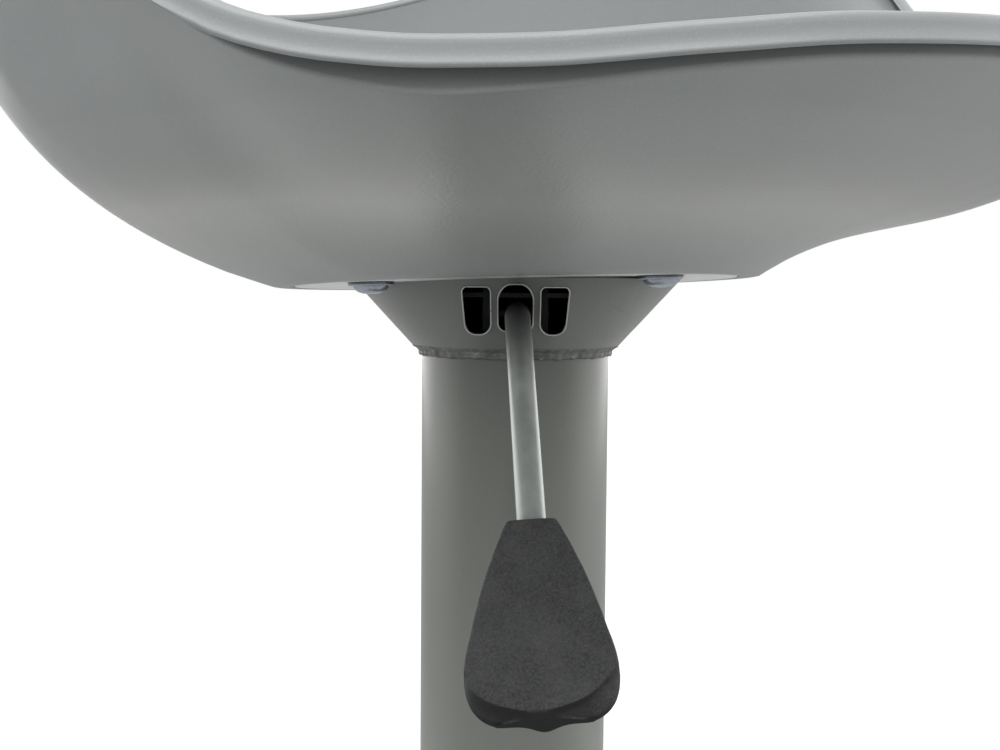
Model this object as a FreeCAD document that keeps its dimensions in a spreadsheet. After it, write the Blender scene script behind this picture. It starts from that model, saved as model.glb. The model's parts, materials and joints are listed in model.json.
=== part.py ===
"""Swivelling gas-lift bar stool in millimetres.

The floor is at z = 0, the column axis is Z and the seat front faces -Y.
"""
import FreeCAD, Part
import math
import os
import Sketcher
from FreeCAD import Placement, Rotation, Vector

# Driving sizes in millimetres or degrees. Heights (_z) are from the floor with the seat at its
# lowest, _r is a radius and _t a thickness.
DIMS = dict(
    # seat shell, measured from the underside of its mounting plate
    seat_plane_z=560.0, seat_tilt=2.5, seat_foot_r=78.0, seat_wall_t=4.6, seat_pad_t=12.0,
    seat_lip_w=5.6, seat_lip_t=4.6, seat_lip_crown=3.0, seat_front_rise=43.0,
    seat_back_rise=238.0,
    # mounting plate and its screws
    plate_r=71.0, plate_t=2.6, screw_circle_r=60.3, screw_head_r=6.9, screw_head_t=3.5,
    screw_shank_r=2.9, insert_r=4.2, insert_len=9.0,
    # cone, its windows and the weld bead
    cone_top_r=53.1, cone_bottom_r=33.2, cone_bottom_z=540.0, cone_wall_t=2.3,
    window_w=8.7, window_side=11.6, window_mid_w=10.4, window_bottom_z=544.5,
    window_top_z=559.2, bead_r=30.6, bead_z=538.6,
    # sliding sleeve and fixed column
    sleeve_r=30.0, sleeve_t=1.5, sleeve_top_z=543.5, sleeve_bottom_z=122.0, bush_len=42.0,
    column_r=25.0, column_t=2.0, column_top_z=488.0, column_bottom_z=12.05,
    guide_bottom_z=398.0,
    # gas spring tube and rod
    spring_r=14.0, spring_t=1.7, spring_bottom_z=215.0, spring_taper_z=498.7,
    spring_top_z=543.2, spring_top_r=13.25, pin_valve_r=3.0, pin_valve_top_z=546.3,
    rod_r=5.0, rod_neck_r=4.0, rod_bottom_z=22.0, piston_bottom_z=489.0, piston_t=8.0,
    gland_top_z=276.0,
    # taper socket and lever bracket
    socket_r=20.0, socket_bottom_z=496.7, bracket_z=538.7, bracket_t=3.0, bracket_r=28.2,
    cheek_gap=15.0, cheek_t=2.5, cheek_in=12.0, cheek_out=26.0, bridge_half=18.0,
    bridge_z=555.6,
    # release lever and paddle
    lever_r=3.8, lever_z=550.4, lever_pivot_x=22.0, lever_inner_x=-4.0, lever_bend_x=43.0,
    lever_bend_r=9.0, lever_drop_deg=40.0, lever_slope_len=105.0, lever_roll=4.2,
    lever_side=0.6, lever_az=225.0, pivot_pin_r=2.0, paddle_len=55.5, paddle_w=36.6,
    paddle_neck_w=12.3, paddle_start=79.0, paddle_boss_r=5.3,
    # base, ballast and foot flange
    base_r=203.0, base_sheet_t=2.5, base_neck_r=27.6, base_neck_z=98.0, base_edge_z=6.0,
    ring_r=205.0, ring_in_r=186.0, ring_top_z=9.0, ballast_r=190.0, ballast_t=6.0,
    flange_r=56.0, flange_t=5.0, flange_bolt_circle=43.0, bolt_r=4.0,
    # swivel bearing at the foot of the column
    end_plate_z=31.0, end_plate_t=5.0, ball_r=2.0, ball_circle_r=8.4,
    # footrest
    collar_z=176.0, collar_h=32.0, collar_r=36.0, hoop_tube_r=10.0, hoop_reach=185.0,
    hoop_half_w=120.0,
)
FIT = 0.02  # small gap between pieces that meet

AXIS_X, AXIS_Y, AXIS_Z = Vector(1, 0, 0), Vector(0, 1, 0), Vector(0, 0, 1)
Z_TO_X = Rotation(AXIS_Y, 90)
Z_TO_Y = Rotation(AXIS_X, -90)


# ---------------------------------------------------------------- sizes bound to the sheet
class Size:
    """A length with the expression that ties it to the sheet."""

    def __init__(self, number, text):
        self.number = float(number)
        self.text = text

    def __add__(self, other):
        other = size(other)
        return Size(self.number + other.number, "(%s + %s)" % (self.text, other.text))

    def __sub__(self, other):
        other = size(other)
        return Size(self.number - other.number, "(%s - %s)" % (self.text, other.text))

    def __rsub__(self, other):
        return size(other) - self

    def __neg__(self):
        return self * -1.0

    def __mul__(self, factor):
        return Size(self.number * factor, "(%s * %.6f)" % (self.text, factor))


def size(x):
    if isinstance(x, Size):
        return x
    return Size(x, "%.5f" % x if x >= 0 else "(0 - %.5f)" % -x)


class Names:
    """Holds one attribute for each driving dimension."""


doc = FreeCAD.newDocument("stool")
sheet = doc.addObject("Spreadsheet::Sheet", "Dims")
dim = Names()  # each dimension as a Size
num = Names()  # each dimension as a plain number
for row, (alias, number) in enumerate(DIMS.items(), 1):
    sheet.set("A%d" % row, alias)
    sheet.set("B%d" % row, str(number))
    sheet.setAlias("B%d" % row, alias)
    setattr(dim, alias, Size(number, "Dims." + alias))
    setattr(num, alias, number)
doc.recompute()


# ---------------------------------------------------------------- sketches and simple solids
def at(x, y, z):
    return Placement(Vector(x, y, z), Rotation())


def around(radius, count, start_deg):
    """Evenly spaced (x, y) places on a circle about Z."""
    angles = [math.radians(start_deg + 360.0 * k / count) for k in range(count)]
    return [(radius * math.cos(angle), radius * math.sin(angle)) for angle in angles]


def sketch_in(body, name, role="XZ_Plane"):
    sketch = body.newObject("Sketcher::SketchObject", name)
    plane = [f for f in body.Origin.OriginFeatures if f.Role == role][0]
    sketch.AttachmentSupport = [(plane, "")]
    sketch.MapMode = "FlatFace"
    return sketch


def drive(sketch, expression, *constraint):
    """Adds a constraint whose value follows an expression."""
    index = sketch.addConstraint(Sketcher.Constraint(*constraint))
    sketch.setExpression("Constraints[%d]" % index, expression)


def tie(sketch, geo, pos, x, y):
    """Holds one sketch point at (x, y) from the origin, by expression."""
    for kind, axis, length in (("DistanceX", -2, size(x)), ("DistanceY", -1, size(y))):
        if abs(length.number) < 1e-9:
            sketch.addConstraint(Sketcher.Constraint("PointOnObject", geo, pos, axis))
        else:
            drive(sketch, length.text, kind, -1, 1, geo, pos, length.number)


def polygon(sketch, points):
    corners = [Vector(size(x).number, size(y).number, 0) for x, y in points]
    count = len(corners)
    for i in range(count):
        sketch.addGeometry(Part.LineSegment(corners[i], corners[(i + 1) % count]))
    for i in range(count):
        sketch.addConstraint(Sketcher.Constraint("Coincident", i, 2, (i + 1) % count, 1))
    for i, (x, y) in enumerate(points):
        tie(sketch, i, 1, x, y)


def centred_circle(sketch, radius):
    sketch.addGeometry(Part.Circle(Vector(0, 0, 0), AXIS_Z, radius.number))
    sketch.addConstraint(Sketcher.Constraint("Coincident", 0, 3, -1, 1))
    drive(sketch, radius.text, "Radius", 0, radius.number)


def sweep(body, name, section, path, edges, placement):
    pipe = body.newObject("PartDesign::AdditivePipe", name)
    pipe.Profile = section
    pipe.Spine = (path, edges)
    body.Tip = pipe
    body.Placement = placement
    doc.recompute()


def turned(name, points, placement=Placement()):
    """A body of revolution about its Z axis from a closed (radius, height) outline."""
    body = doc.addObject("PartDesign::Body", name)
    sketch = sketch_in(body, name + "_outline")
    polygon(sketch, points)
    turn = body.newObject("PartDesign::Revolution", name + "_turn")
    turn.Profile = sketch
    turn.ReferenceAxis = (sketch, ["V_Axis"])
    turn.Angle = 360.0
    body.Tip = turn
    doc.recompute()
    body.Placement = placement
    return body


def ring(name, outer, inner, low, high, placement=Placement()):
    outline = [(inner, low), (outer, low), (outer, high), (inner, high)]
    return turned(name, outline, placement)


def block(name, x0, x1, y0, y1, z0, z1, frame=None):
    """A plain box between two corners, in a frame if one is given."""
    box = doc.addObject("Part::Box", name)
    x0, x1, y0, y1, z0, z1 = map(size, (x0, x1, y0, y1, z0, z1))
    box.setExpression("Length", (x1 - x0).text)
    box.setExpression("Width", (y1 - y0).text)
    box.setExpression("Height", (z1 - z0).text)
    if frame is None:
        for axis, low in (("x", x0), ("y", y0), ("z", z0)):
            box.setExpression("Placement.Base." + axis, low.text)
    else:
        box.Placement = frame.multiply(at(x0.number, y0.number, z0.number))
    return box


def rod(name, radius, length, placement):
    cylinder = doc.addObject("Part::Cylinder", name)
    cylinder.setExpression("Radius", size(radius).text)
    cylinder.setExpression("Height", size(length).text)
    cylinder.Placement = placement
    return cylinder


def cut(name, base, tool):
    result = doc.addObject("Part::Cut", name)
    result.Base = base
    result.Tool = tool
    result.Refine = True
    return result


def fuse(name, shapes):
    result = doc.addObject("Part::MultiFuse", name)
    result.Shapes = shapes
    result.Refine = True
    return result


def group(name, members):
    compound = doc.addObject("Part::Compound", name)
    compound.Links = members
    return compound


def drilled(name, base, hole_name, radius, length, placements):
    """The base with one round hole along Z of each placement."""
    tools = [rod("%s%d" % (hole_name, k), radius, length, placement)
             for k, placement in enumerate(placements)]
    return cut(name, base, group(hole_name + "s", tools))


nodes = []  # the pieces to export


def node(obj, label):
    obj.Label = label
    nodes.append(obj)


# The seat frame sits on the underside of the mounting plate, its -Y side tilted up.
SEAT = Placement(Vector(0, 0, num.seat_plane_z), Rotation(AXIS_X, -num.seat_tilt))
# The lever frame has its X axis pointing out along the lever.
LEVER_TURN = Placement(Vector(0, 0, 0), Rotation(AXIS_Z, num.lever_az))

# ---------------------------------------------------------------- base
sheet_t = dim.base_sheet_t
ballast_low = dim.base_edge_z - 2.0
flange_low = dim.column_bottom_z - 1.0
flange_top = flange_low + dim.flange_t
bolt_hole_r = dim.bolt_r + 0.2
bolt_at = [at(x, y, 0) for x, y in around(num.flange_bolt_circle, 4, 45)]

# (radius, height) of the upper side from edge to neck, for a base 203 in radius and 98 high
BASE_DRAWN_R, BASE_DRAWN_Z = 203.0, 98.0
BASE_OUTLINE = [
    (203.0, 6.0), (203.0, 9.5), (188.0, 15.5), (165.0, 21.5), (138.0, 27.0), (110.0, 33.0),
    (86.0, 40.5), (66.0, 50.0), (50.0, 63.0), (38.5, 78.0), (31.5, 90.0)]


def base_shell():
    """Flared sheet: the upper side, then the underside set in by shares of the thickness."""
    upper = [(dim.base_r * (r / BASE_DRAWN_R), dim.base_neck_z * (z / BASE_DRAWN_Z))
             for r, z in BASE_OUTLINE]
    neck = [(dim.base_neck_r + sheet_t, dim.base_neck_z), (dim.base_neck_r, dim.base_neck_z)]
    under = [(r - sheet_t * 0.75, z - sheet_t * 0.95) for r, z in reversed(upper[2:])]
    edge = [(dim.base_r - sheet_t, dim.base_neck_z * (z / BASE_DRAWN_Z)) for z in (8.0, 6.0)]
    return turned("BaseShell", upper + neck + under + edge)


def floor_ring():
    """Ring under the base edge, with a groove that takes the sheet."""
    groove_out = dim.base_r + 0.05
    groove_in = dim.base_r - sheet_t - 0.05
    groove_z = dim.base_edge_z - 0.1
    step_r = dim.base_r - sheet_t - 3.0
    step_z = dim.ring_top_z - 1.5
    return turned("FloorRing", [
        (dim.ring_in_r, 0), (dim.ring_r - 2.0, 0), (dim.ring_r, 2.0), (dim.ring_r, step_z),
        (dim.ring_r - 1.0, dim.ring_top_z), (groove_out, dim.ring_top_z),
        (groove_out, groove_z), (groove_in, groove_z), (groove_in, step_z), (step_r, step_z),
        (step_r, ballast_low), (dim.ring_in_r, ballast_low)])


def foot_bolt(k):
    """Bolt from below, its head under the ballast disc and its tip chamfered."""
    head_r = dim.bolt_r + 3.4
    head_low = 0.6
    chamfer = 0.8
    chamfer_z = dim.column_bottom_z + 12.0
    tip_z = dim.column_bottom_z + 12.8
    return turned("FootBolt%d" % k, [
        (0, head_low), (head_r, head_low), (head_r, ballast_low), (dim.bolt_r, ballast_low),
        (dim.bolt_r, chamfer_z), (dim.bolt_r - chamfer, tip_z), (0, tip_z)], bolt_at[k])


def foot_nut(k):
    """Hexagon nut on top of the flange."""
    prism = doc.addObject("Part::Prism", "FootNutBody%d" % k)
    prism.Polygon = 6
    prism.setExpression("Circumradius", (dim.bolt_r + 3.5).text)
    prism.setExpression("Height", "6.4")
    prism.Placement = at(0, 0, flange_top.number).multiply(bolt_at[k])
    hole = rod("FootNutHole%d" % k, dim.bolt_r + FIT, 60.0, bolt_at[k])
    return cut("FootNut%d" % k, prism, hole)


node(base_shell(), "base_shell")
node(floor_ring(), "floor_ring")
ballast = ring("BallastDisc", dim.ballast_r, dim.rod_neck_r + 12.0, ballast_low,
               dim.base_edge_z + dim.ballast_t - 1.0)
node(drilled("BallastCut", ballast, "BallastHole", bolt_hole_r, 40.0, bolt_at), "ballast_disc")
flange = ring("FootFlange", dim.flange_r, dim.column_r + FIT, flange_low, flange_top)
node(drilled("FlangeCut", flange, "FlangeHole", bolt_hole_r, 60.0, bolt_at), "foot_flange")
node(group("FootBolts", [foot_bolt(k) for k in range(4)]), "foot_bolts")
node(group("FootNuts", [foot_nut(k) for k in range(4)]), "foot_nuts")

# ---------------------------------------------------------------- fixed column
column_in_r = dim.column_r - dim.column_t
node(ring("LowerTube", dim.column_r, column_in_r, flange_low, dim.column_top_z), "column_tube")

# Collar in the neck of the base, with a sloping cap over the edge of the sheet
neck_bore_r = dim.column_r + 0.1
neck_low = dim.base_neck_z - 9.0
neck_plug_r = dim.base_neck_r - FIT
neck_cap_r = dim.base_neck_r + sheet_t + 0.8
neck_cap_low = dim.base_neck_z + FIT
node(turned("NeckCollar", [
    (neck_bore_r, neck_low), (neck_plug_r, neck_low), (neck_plug_r, neck_cap_low),
    (neck_cap_r, neck_cap_low), (neck_cap_r, dim.base_neck_z + 2.6),
    (dim.base_neck_r + 1.0, dim.base_neck_z + 6.0), (neck_bore_r, dim.base_neck_z + 7.0)]),
    "neck_collar")

# Plate across the foot of the column, which carries the ball bearing
bearing_z = dim.end_plate_z + dim.end_plate_t
node(ring("EndPlate", column_in_r - FIT, dim.rod_neck_r + 0.25, dim.end_plate_z, bearing_z),
     "column_end_plate")

# Both races are grooved rings: the groove narrows from its mouth to its floor.
race_r = dim.ball_circle_r + 4.2
groove_mouth = (dim.ball_circle_r - 1.6, dim.ball_circle_r + 1.6)
groove_floor = (dim.ball_circle_r - 0.9, dim.ball_circle_r + 0.9)
lower_bore_r = dim.rod_neck_r + 0.5
lower_top = bearing_z + 3.0
lower_floor = bearing_z + 2.2
node(turned("LowerRace", [
    (lower_bore_r, bearing_z), (race_r, bearing_z), (race_r, lower_top),
    (groove_mouth[1], lower_top), (groove_floor[1], lower_floor),
    (groove_floor[0], lower_floor), (groove_mouth[0], lower_top),
    (lower_bore_r, lower_top)]), "bearing_race_lower")


def ball(k, x, y):
    sphere = doc.addObject("Part::Sphere", "Ball%d" % k)
    sphere.setExpression("Radius", "Dims.ball_r")
    sphere.Placement = at(x, y, lower_floor.number + FIT + num.ball_r)
    return sphere


balls = [ball(k, x, y) for k, (x, y) in enumerate(around(num.ball_circle_r, 10, 0))]
node(group("Balls", balls), "bearing_balls")

# Bush in the mouth of the column, with a flange on the tube end
guide_bore_r = dim.spring_r + 0.15
guide_r = column_in_r - 0.03
guide_flange_r = dim.column_r - 0.1
guide_flange_low = dim.column_top_z + FIT
guide_top = dim.column_top_z + 3.4
node(turned("GuideBush", [
    (guide_bore_r, dim.guide_bottom_z), (guide_r, dim.guide_bottom_z),
    (guide_r, guide_flange_low), (guide_flange_r, guide_flange_low),
    (guide_flange_r, dim.column_top_z + 2.2), (dim.column_r - 1.2, guide_top),
    (dim.spring_r + 1.0, guide_top), (guide_bore_r, dim.column_top_z + 2.4)]), "guide_bush")

# ---------------------------------------------------------------- turning rod
upper_floor = bearing_z + 2.24 + dim.ball_r * 2.0 + 0.05
upper_low = upper_floor - 0.8
shoulder_z = upper_floor + 2.35
upper_bore_r = dim.rod_neck_r + 0.05
node(turned("UpperRace", [
    (upper_bore_r, upper_low), (groove_mouth[0], upper_low), (groove_floor[0], upper_floor),
    (groove_floor[1], upper_floor), (groove_mouth[1], upper_low), (race_r, upper_low),
    (race_r, shoulder_z), (upper_bore_r, shoulder_z)]), "bearing_race_upper")

# Rod with a clip groove near its foot, a shoulder on the bearing and a thin piston end
clip_groove_r = dim.rod_neck_r - 0.7
clip_groove_low = dim.end_plate_z - 3.6
clip_groove_top = dim.end_plate_z - 2.4
piston_seat_r = dim.rod_neck_r - 0.5
rod_top = dim.piston_bottom_z + dim.piston_t + 2.0
node(turned("GasRod", [
    (0, dim.rod_bottom_z), (dim.rod_neck_r - 0.5, dim.rod_bottom_z),
    (dim.rod_neck_r, dim.rod_bottom_z + 0.6), (dim.rod_neck_r, clip_groove_low),
    (clip_groove_r, clip_groove_low), (clip_groove_r, clip_groove_top),
    (dim.rod_neck_r, clip_groove_top), (dim.rod_neck_r, shoulder_z), (dim.rod_r, shoulder_z),
    (dim.rod_r, dim.piston_bottom_z), (piston_seat_r, dim.piston_bottom_z),
    (piston_seat_r, rod_top), (0, rod_top)]), "gas_rod")

# Washer under the end plate
node(ring("RodWasher", dim.rod_neck_r + 5.0, dim.rod_neck_r + 0.05, dim.end_plate_z - 2.2,
          dim.end_plate_z - 0.2), "rod_washer")

# Clip in the rod groove, open toward +X
clip = ring("RodClipRing", dim.rod_neck_r + 2.4, dim.rod_neck_r - 0.65,
            dim.end_plate_z - 3.5, dim.end_plate_z - 2.5)
clip_gap = block("RodClipGap", 0, 12, -1.6, 1.6, dim.end_plate_z - 5.0, dim.end_plate_z - 1.0)
node(cut("RodClip", clip, clip_gap), "rod_clip")

# Bulging bumper on the bearing, around the rod
bumper_bore_r = dim.rod_r + 0.05
bumper_low = shoulder_z + FIT
bumper_top = shoulder_z + 12.0
node(turned("Bumper", [
    (bumper_bore_r, bumper_low), (dim.rod_r + 6.0, bumper_low),
    (dim.rod_r + 7.0, shoulder_z + 6.0), (dim.rod_r + 5.0, bumper_top),
    (bumper_bore_r, bumper_top)]), "rod_bumper")

node(ring("Piston", dim.spring_r - dim.spring_t - 0.2, piston_seat_r + FIT,
          dim.piston_bottom_z + FIT, dim.piston_bottom_z + dim.piston_t), "piston")

# ---------------------------------------------------------------- gas spring tube
# Everything here rides with the seat.
spring_in_r = dim.spring_r - dim.spring_t
spring_hole_r = dim.rod_r + 1.2
valve_hole_r = dim.pin_valve_r + 1.4
spring_floor = dim.spring_bottom_z + 2.0
spring_ceiling = dim.spring_top_z - 2.0
node(turned("SpringTube", [
    (spring_hole_r, dim.spring_bottom_z), (dim.spring_r - 1.0, dim.spring_bottom_z),
    (dim.spring_r, dim.spring_bottom_z + 1.0), (dim.spring_r, dim.spring_taper_z),
    (dim.spring_top_r, dim.spring_top_z - 1.0), (dim.spring_top_r - 1.0, dim.spring_top_z),
    (valve_hole_r, dim.spring_top_z), (valve_hole_r, spring_ceiling),
    (dim.spring_top_r - 1.7, spring_ceiling), (spring_in_r, dim.spring_taper_z),
    (spring_in_r, spring_floor), (spring_hole_r, spring_floor)]), "spring_tube")

# Gland around the rod and the seal on top of it
gland_r = spring_in_r - FIT
seal_bore_r = dim.rod_r + 0.08
seal_low = dim.gland_top_z - 3.98
node(ring("Gland", gland_r, dim.rod_r + 0.1, spring_floor + FIT, dim.gland_top_z - 4.0),
     "spring_gland")
node(turned("GlandSeal", [
    (seal_bore_r, seal_low), (gland_r, seal_low), (gland_r, dim.gland_top_z - 1.0),
    (dim.rod_r + 3.2, dim.gland_top_z), (seal_bore_r, dim.gland_top_z)]), "gland_seal")

# Valve block in the tapered top, with a bore that the valve pin stands in
valve_bore_r = dim.pin_valve_r + 0.1
valve_low = dim.spring_taper_z + 6.0
valve_top = dim.spring_top_z - 2.1
valve_bore_floor = dim.spring_taper_z + 14.0
node(turned("ValveBlock", [
    (0, valve_low), (spring_in_r - 0.35, valve_low), (dim.spring_top_r - 1.9, valve_top),
    (valve_bore_r, valve_top), (valve_bore_r, valve_bore_floor), (0, valve_bore_floor)]),
    "valve_block")
pin_low = dim.spring_taper_z + 18.0
pin_chamfer = 0.6
node(turned("ValvePin", [
    (0, pin_low), (dim.pin_valve_r, pin_low),
    (dim.pin_valve_r, dim.pin_valve_top_z - pin_chamfer),
    (dim.pin_valve_r - pin_chamfer, dim.pin_valve_top_z), (0, dim.pin_valve_top_z)]),
    "valve_pin")

# ---------------------------------------------------------------- mounting plate
plate_hole_r = dim.plate_r - 54.0
plate = turned("MountPlate", [
    (plate_hole_r, FIT), (dim.plate_r - 0.6, FIT), (dim.plate_r, 0.6),
    (dim.plate_r, dim.plate_t), (plate_hole_r, dim.plate_t)], SEAT)
screw_at = around(num.screw_circle_r, 4, -90)
node(drilled("MountPlateCut", plate, "PlateHole", dim.screw_shank_r + 0.4, 20.0,
             [SEAT.multiply(at(x, y, -10)) for x, y in screw_at]), "mount_plate")


# ---------------------------------------------------------------- cone, bead and sleeve
def above_plate(name):
    """Trims away what stands above the underside of the tilted plate."""
    return block(name, -120, 120, -120, 120, 0, 60.0, SEAT)


# Sideways place as a share of window_side, width, rise of the bottom and top edges, corner
# radii at top and bottom, inward slant of the low left and low right corners
WINDOWS = [
    (-1.0, dim.window_w, 0.0, 0.0, 2.0, 3.4, 1.0, 0.0),
    (0.0, dim.window_mid_w, 1.2, 0.9, 5.0, 2.4, 0.0, 0.0),
    (1.0, dim.window_w, 0.0, 0.0, 2.0, 3.4, 0.0, 1.0),
]
ARC_MIDDLE = 0.2929  # distance of the arc's middle from both sides, as a share of its radius


def corner(x, y, sign_x, sign_y, radius, flip):
    """Three points that round one corner of an opening."""
    middle = radius * ARC_MIDDLE
    points = [(x - sign_x * radius, y), (x - sign_x * middle, y - sign_y * middle),
              (x, y - sign_y * radius)]
    return points[::-1] if flip else points


def window(k):
    """Cutter for one opening, padded outward along the lever."""
    side, width, rise_low, rise_high, top_r, low_r, slant_left, slant_right = WINDOWS[k]
    body = doc.addObject("PartDesign::Body", "Window%d" % k)
    sketch = sketch_in(body, "Window%d_outline" % k, "YZ_Plane")
    low = dim.window_bottom_z + rise_low
    high = dim.window_top_z + rise_high
    left = dim.window_side * side - width * 0.5
    right = dim.window_side * side + width * 0.5
    polygon(sketch, corner(left + slant_left, low, -1, -1, low_r, True)
            + corner(right - slant_right, low, 1, -1, low_r, False)
            + corner(right, high, 1, 1, top_r, True)
            + corner(left, high, -1, 1, top_r, False))
    pad = body.newObject("PartDesign::Pad", "Window%d_pad" % k)
    pad.Profile = sketch
    pad.Length = 60.0
    body.Tip = pad
    body.Placement = LEVER_TURN
    return body


# Cone with a short upright rim, trimmed to the tilted plate
cone_rim_z = dim.seat_plane_z + 1.7
cone_top_z = dim.seat_plane_z + 5.0
above = above_plate("AbovePlate")
cone = turned("Cone", [
    (dim.cone_bottom_r - dim.cone_wall_t, dim.cone_bottom_z),
    (dim.cone_bottom_r, dim.cone_bottom_z), (dim.cone_top_r, cone_rim_z),
    (dim.cone_top_r, cone_top_z), (dim.cone_top_r - dim.cone_wall_t, cone_top_z),
    (dim.cone_top_r - dim.cone_wall_t, cone_rim_z)])
windows = group("Windows", [window(k) for k in range(len(WINDOWS))])
node(cut("ConeCut", cut("ConeOpen", cone, windows), above), "mount_cone")

# Weld bead around the sleeve, under the cone
bead_in_r = dim.sleeve_r + FIT
bead_top = dim.cone_bottom_z - FIT
node(turned("WeldBead", [
    (bead_in_r, dim.bead_z - 2.6), (dim.bead_r + 0.6, dim.bead_z - 2.3),
    (dim.bead_r + 1.9, dim.bead_z - 1.2), (dim.bead_r + 2.3, dim.bead_z + 0.2),
    (dim.bead_r + 1.9, bead_top), (bead_in_r, bead_top)]), "weld_bead")

node(ring("Sleeve", dim.sleeve_r, dim.sleeve_r - dim.sleeve_t, dim.sleeve_bottom_z,
          dim.sleeve_top_z), "sleeve_tube")

# Bush inside the sleeve, with a flange that covers its lower end
bush_bore_r = dim.column_r + 0.3
bush_r = dim.sleeve_r - dim.sleeve_t - 0.03
bush_low = dim.sleeve_bottom_z - 3.0
bush_flange_top = dim.sleeve_bottom_z - FIT
bush_top = dim.sleeve_bottom_z + dim.bush_len
node(turned("SleeveBush", [
    (bush_bore_r, bush_low), (dim.sleeve_r - 0.6, bush_low),
    (dim.sleeve_r, dim.sleeve_bottom_z - 2.4), (dim.sleeve_r, bush_flange_top),
    (bush_r, bush_flange_top), (bush_r, bush_top), (bush_bore_r, bush_top)]), "sleeve_bush")

# ---------------------------------------------------------------- taper socket and bracket
# Radius of the spring taper where the bracket floor crosses it
taper_share = ((num.bracket_z - num.spring_taper_z)
               / (num.spring_top_z - 1.0 - num.spring_taper_z))
taper_r = num.spring_r - (num.spring_r - num.spring_top_r) * taper_share
socket_gap = 0.03
socket_top = dim.bracket_z - FIT
node(turned("Socket", [
    (dim.spring_r + socket_gap, dim.socket_bottom_z), (dim.socket_r, dim.socket_bottom_z),
    (dim.socket_r, socket_top), (taper_r + socket_gap, socket_top),
    (dim.spring_r + socket_gap, dim.spring_taper_z)]), "taper_socket")


def pivot_frame(y):
    """Frame on the pivot axis, starting at y and running across the lever."""
    return LEVER_TURN.multiply(Placement(Vector(num.lever_pivot_x, y, num.lever_z), Z_TO_Y))


PIVOT_HOLE_LEN = 30.0
pivot_hole_at = pivot_frame(-PIVOT_HOLE_LEN / 2)


def lever_bracket():
    """Round floor with two upright cheeks and a bridge across their outer edges."""
    floor = ring("BracketFloor", dim.bracket_r, taper_r + 0.1, dim.bracket_z,
                 dim.bracket_z + dim.bracket_t)
    cheek_y = (dim.cheek_gap * -0.5 - dim.cheek_t, dim.cheek_gap * 0.5)
    cheeks = [block("Cheek%d" % k, dim.cheek_in, dim.cheek_out, y, y + dim.cheek_t,
                    dim.bracket_z + 0.5, dim.seat_plane_z + 4.0, LEVER_TURN)
              for k, y in enumerate(cheek_y)]
    bridge = block("Bridge", dim.cheek_out - 1.0, dim.cheek_out + 2.5, -dim.bridge_half,
                   dim.bridge_half, dim.bridge_z, dim.bridge_z + 1.4, LEVER_TURN)
    whole = fuse("BracketFuse", [floor, bridge] + cheeks)
    trimmed = cut("BracketTrim", whole, above_plate("AbovePlateB"))
    hole = rod("PinHole", dim.pivot_pin_r + 0.03, PIVOT_HOLE_LEN, pivot_hole_at)
    return cut("BracketCut", trimmed, hole)


node(lever_bracket(), "lever_bracket")

# Pivot pin, standing a little proud of each cheek
pin_proud = 0.3
node(rod("PivotPin", dim.pivot_pin_r, dim.cheek_gap + dim.cheek_t * 2.0 + 2 * pin_proud,
         pivot_frame(-num.cheek_gap / 2 - num.cheek_t - pin_proud)), "pivot_pin")

# ---------------------------------------------------------------- release lever
# Drawn in its own XZ plane with the inner end level, then rolled about that level length.
lever_frame = LEVER_TURN.multiply(
    Placement(Vector(0, num.lever_side, num.lever_z), Rotation(AXIS_X, num.lever_roll)))
drop = math.radians(num.lever_drop_deg)
# Start of the sloping length, and how far that length runs out and down
slope_x = num.lever_bend_x + num.lever_bend_r * math.sin(drop)
slope_z = -num.lever_bend_r * (1 - math.cos(drop))
slope_run = num.lever_slope_len * math.cos(drop)
slope_fall = num.lever_slope_len * math.sin(drop)
slope_frame = lever_frame.multiply(
    Placement(Vector(slope_x, 0, slope_z), Rotation(AXIS_Y, num.lever_drop_deg)))


def lever_path(body):
    """Level length, downward bend and sloping length."""
    path = sketch_in(body, "Lever_path")
    inner_x, bend_x, bend_r = num.lever_inner_x, num.lever_bend_x, num.lever_bend_r
    path.addGeometry(Part.LineSegment(Vector(inner_x, 0, 0), Vector(bend_x, 0, 0)))
    bend = Part.Circle(Vector(bend_x, -bend_r, 0), AXIS_Z, bend_r)
    path.addGeometry(Part.ArcOfCircle(bend, math.pi / 2 - drop, math.pi / 2))
    path.addGeometry(Part.LineSegment(
        Vector(slope_x, slope_z, 0), Vector(slope_x + slope_run, slope_z - slope_fall, 0)))
    path.addConstraint(Sketcher.Constraint("PointOnObject", 0, 1, -1))
    path.addConstraint(Sketcher.Constraint("PointOnObject", 0, 2, -1))
    path.addConstraint(Sketcher.Constraint("Tangent", 0, 2, 1, 2))
    path.addConstraint(Sketcher.Constraint("Tangent", 1, 1, 2, 1))
    drive(path, "0 - Dims.lever_inner_x", "DistanceX", 0, 1, -1, 1, -inner_x)
    drive(path, "Dims.lever_bend_x", "DistanceX", -1, 1, 0, 2, bend_x)
    drive(path, "Dims.lever_bend_r", "Radius", 1, bend_r)
    drive(path, "Dims.lever_slope_len * cos(Dims.lever_drop_deg * 1 deg)",
          "DistanceX", 2, 1, 2, 2, slope_run)
    drive(path, "Dims.lever_slope_len * sin(Dims.lever_drop_deg * 1 deg)",
          "DistanceY", 2, 2, 2, 1, slope_fall)
    return path


def lever_rod():
    body = doc.addObject("PartDesign::Body", "Lever")
    path = lever_path(body)
    section = sketch_in(body, "Lever_section", "YZ_Plane")
    section.AttachmentOffset = at(0, 0, num.lever_inner_x)
    centred_circle(section, dim.lever_r)
    sweep(body, "Lever_pipe", section, path, ["Edge1", "Edge2", "Edge3"], lever_frame)
    hole = rod("LeverPinHole", dim.pivot_pin_r + 0.12, PIVOT_HOLE_LEN, pivot_hole_at)
    return cut("LeverCut", body, hole)


node(lever_rod(), "lever_rod")

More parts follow.
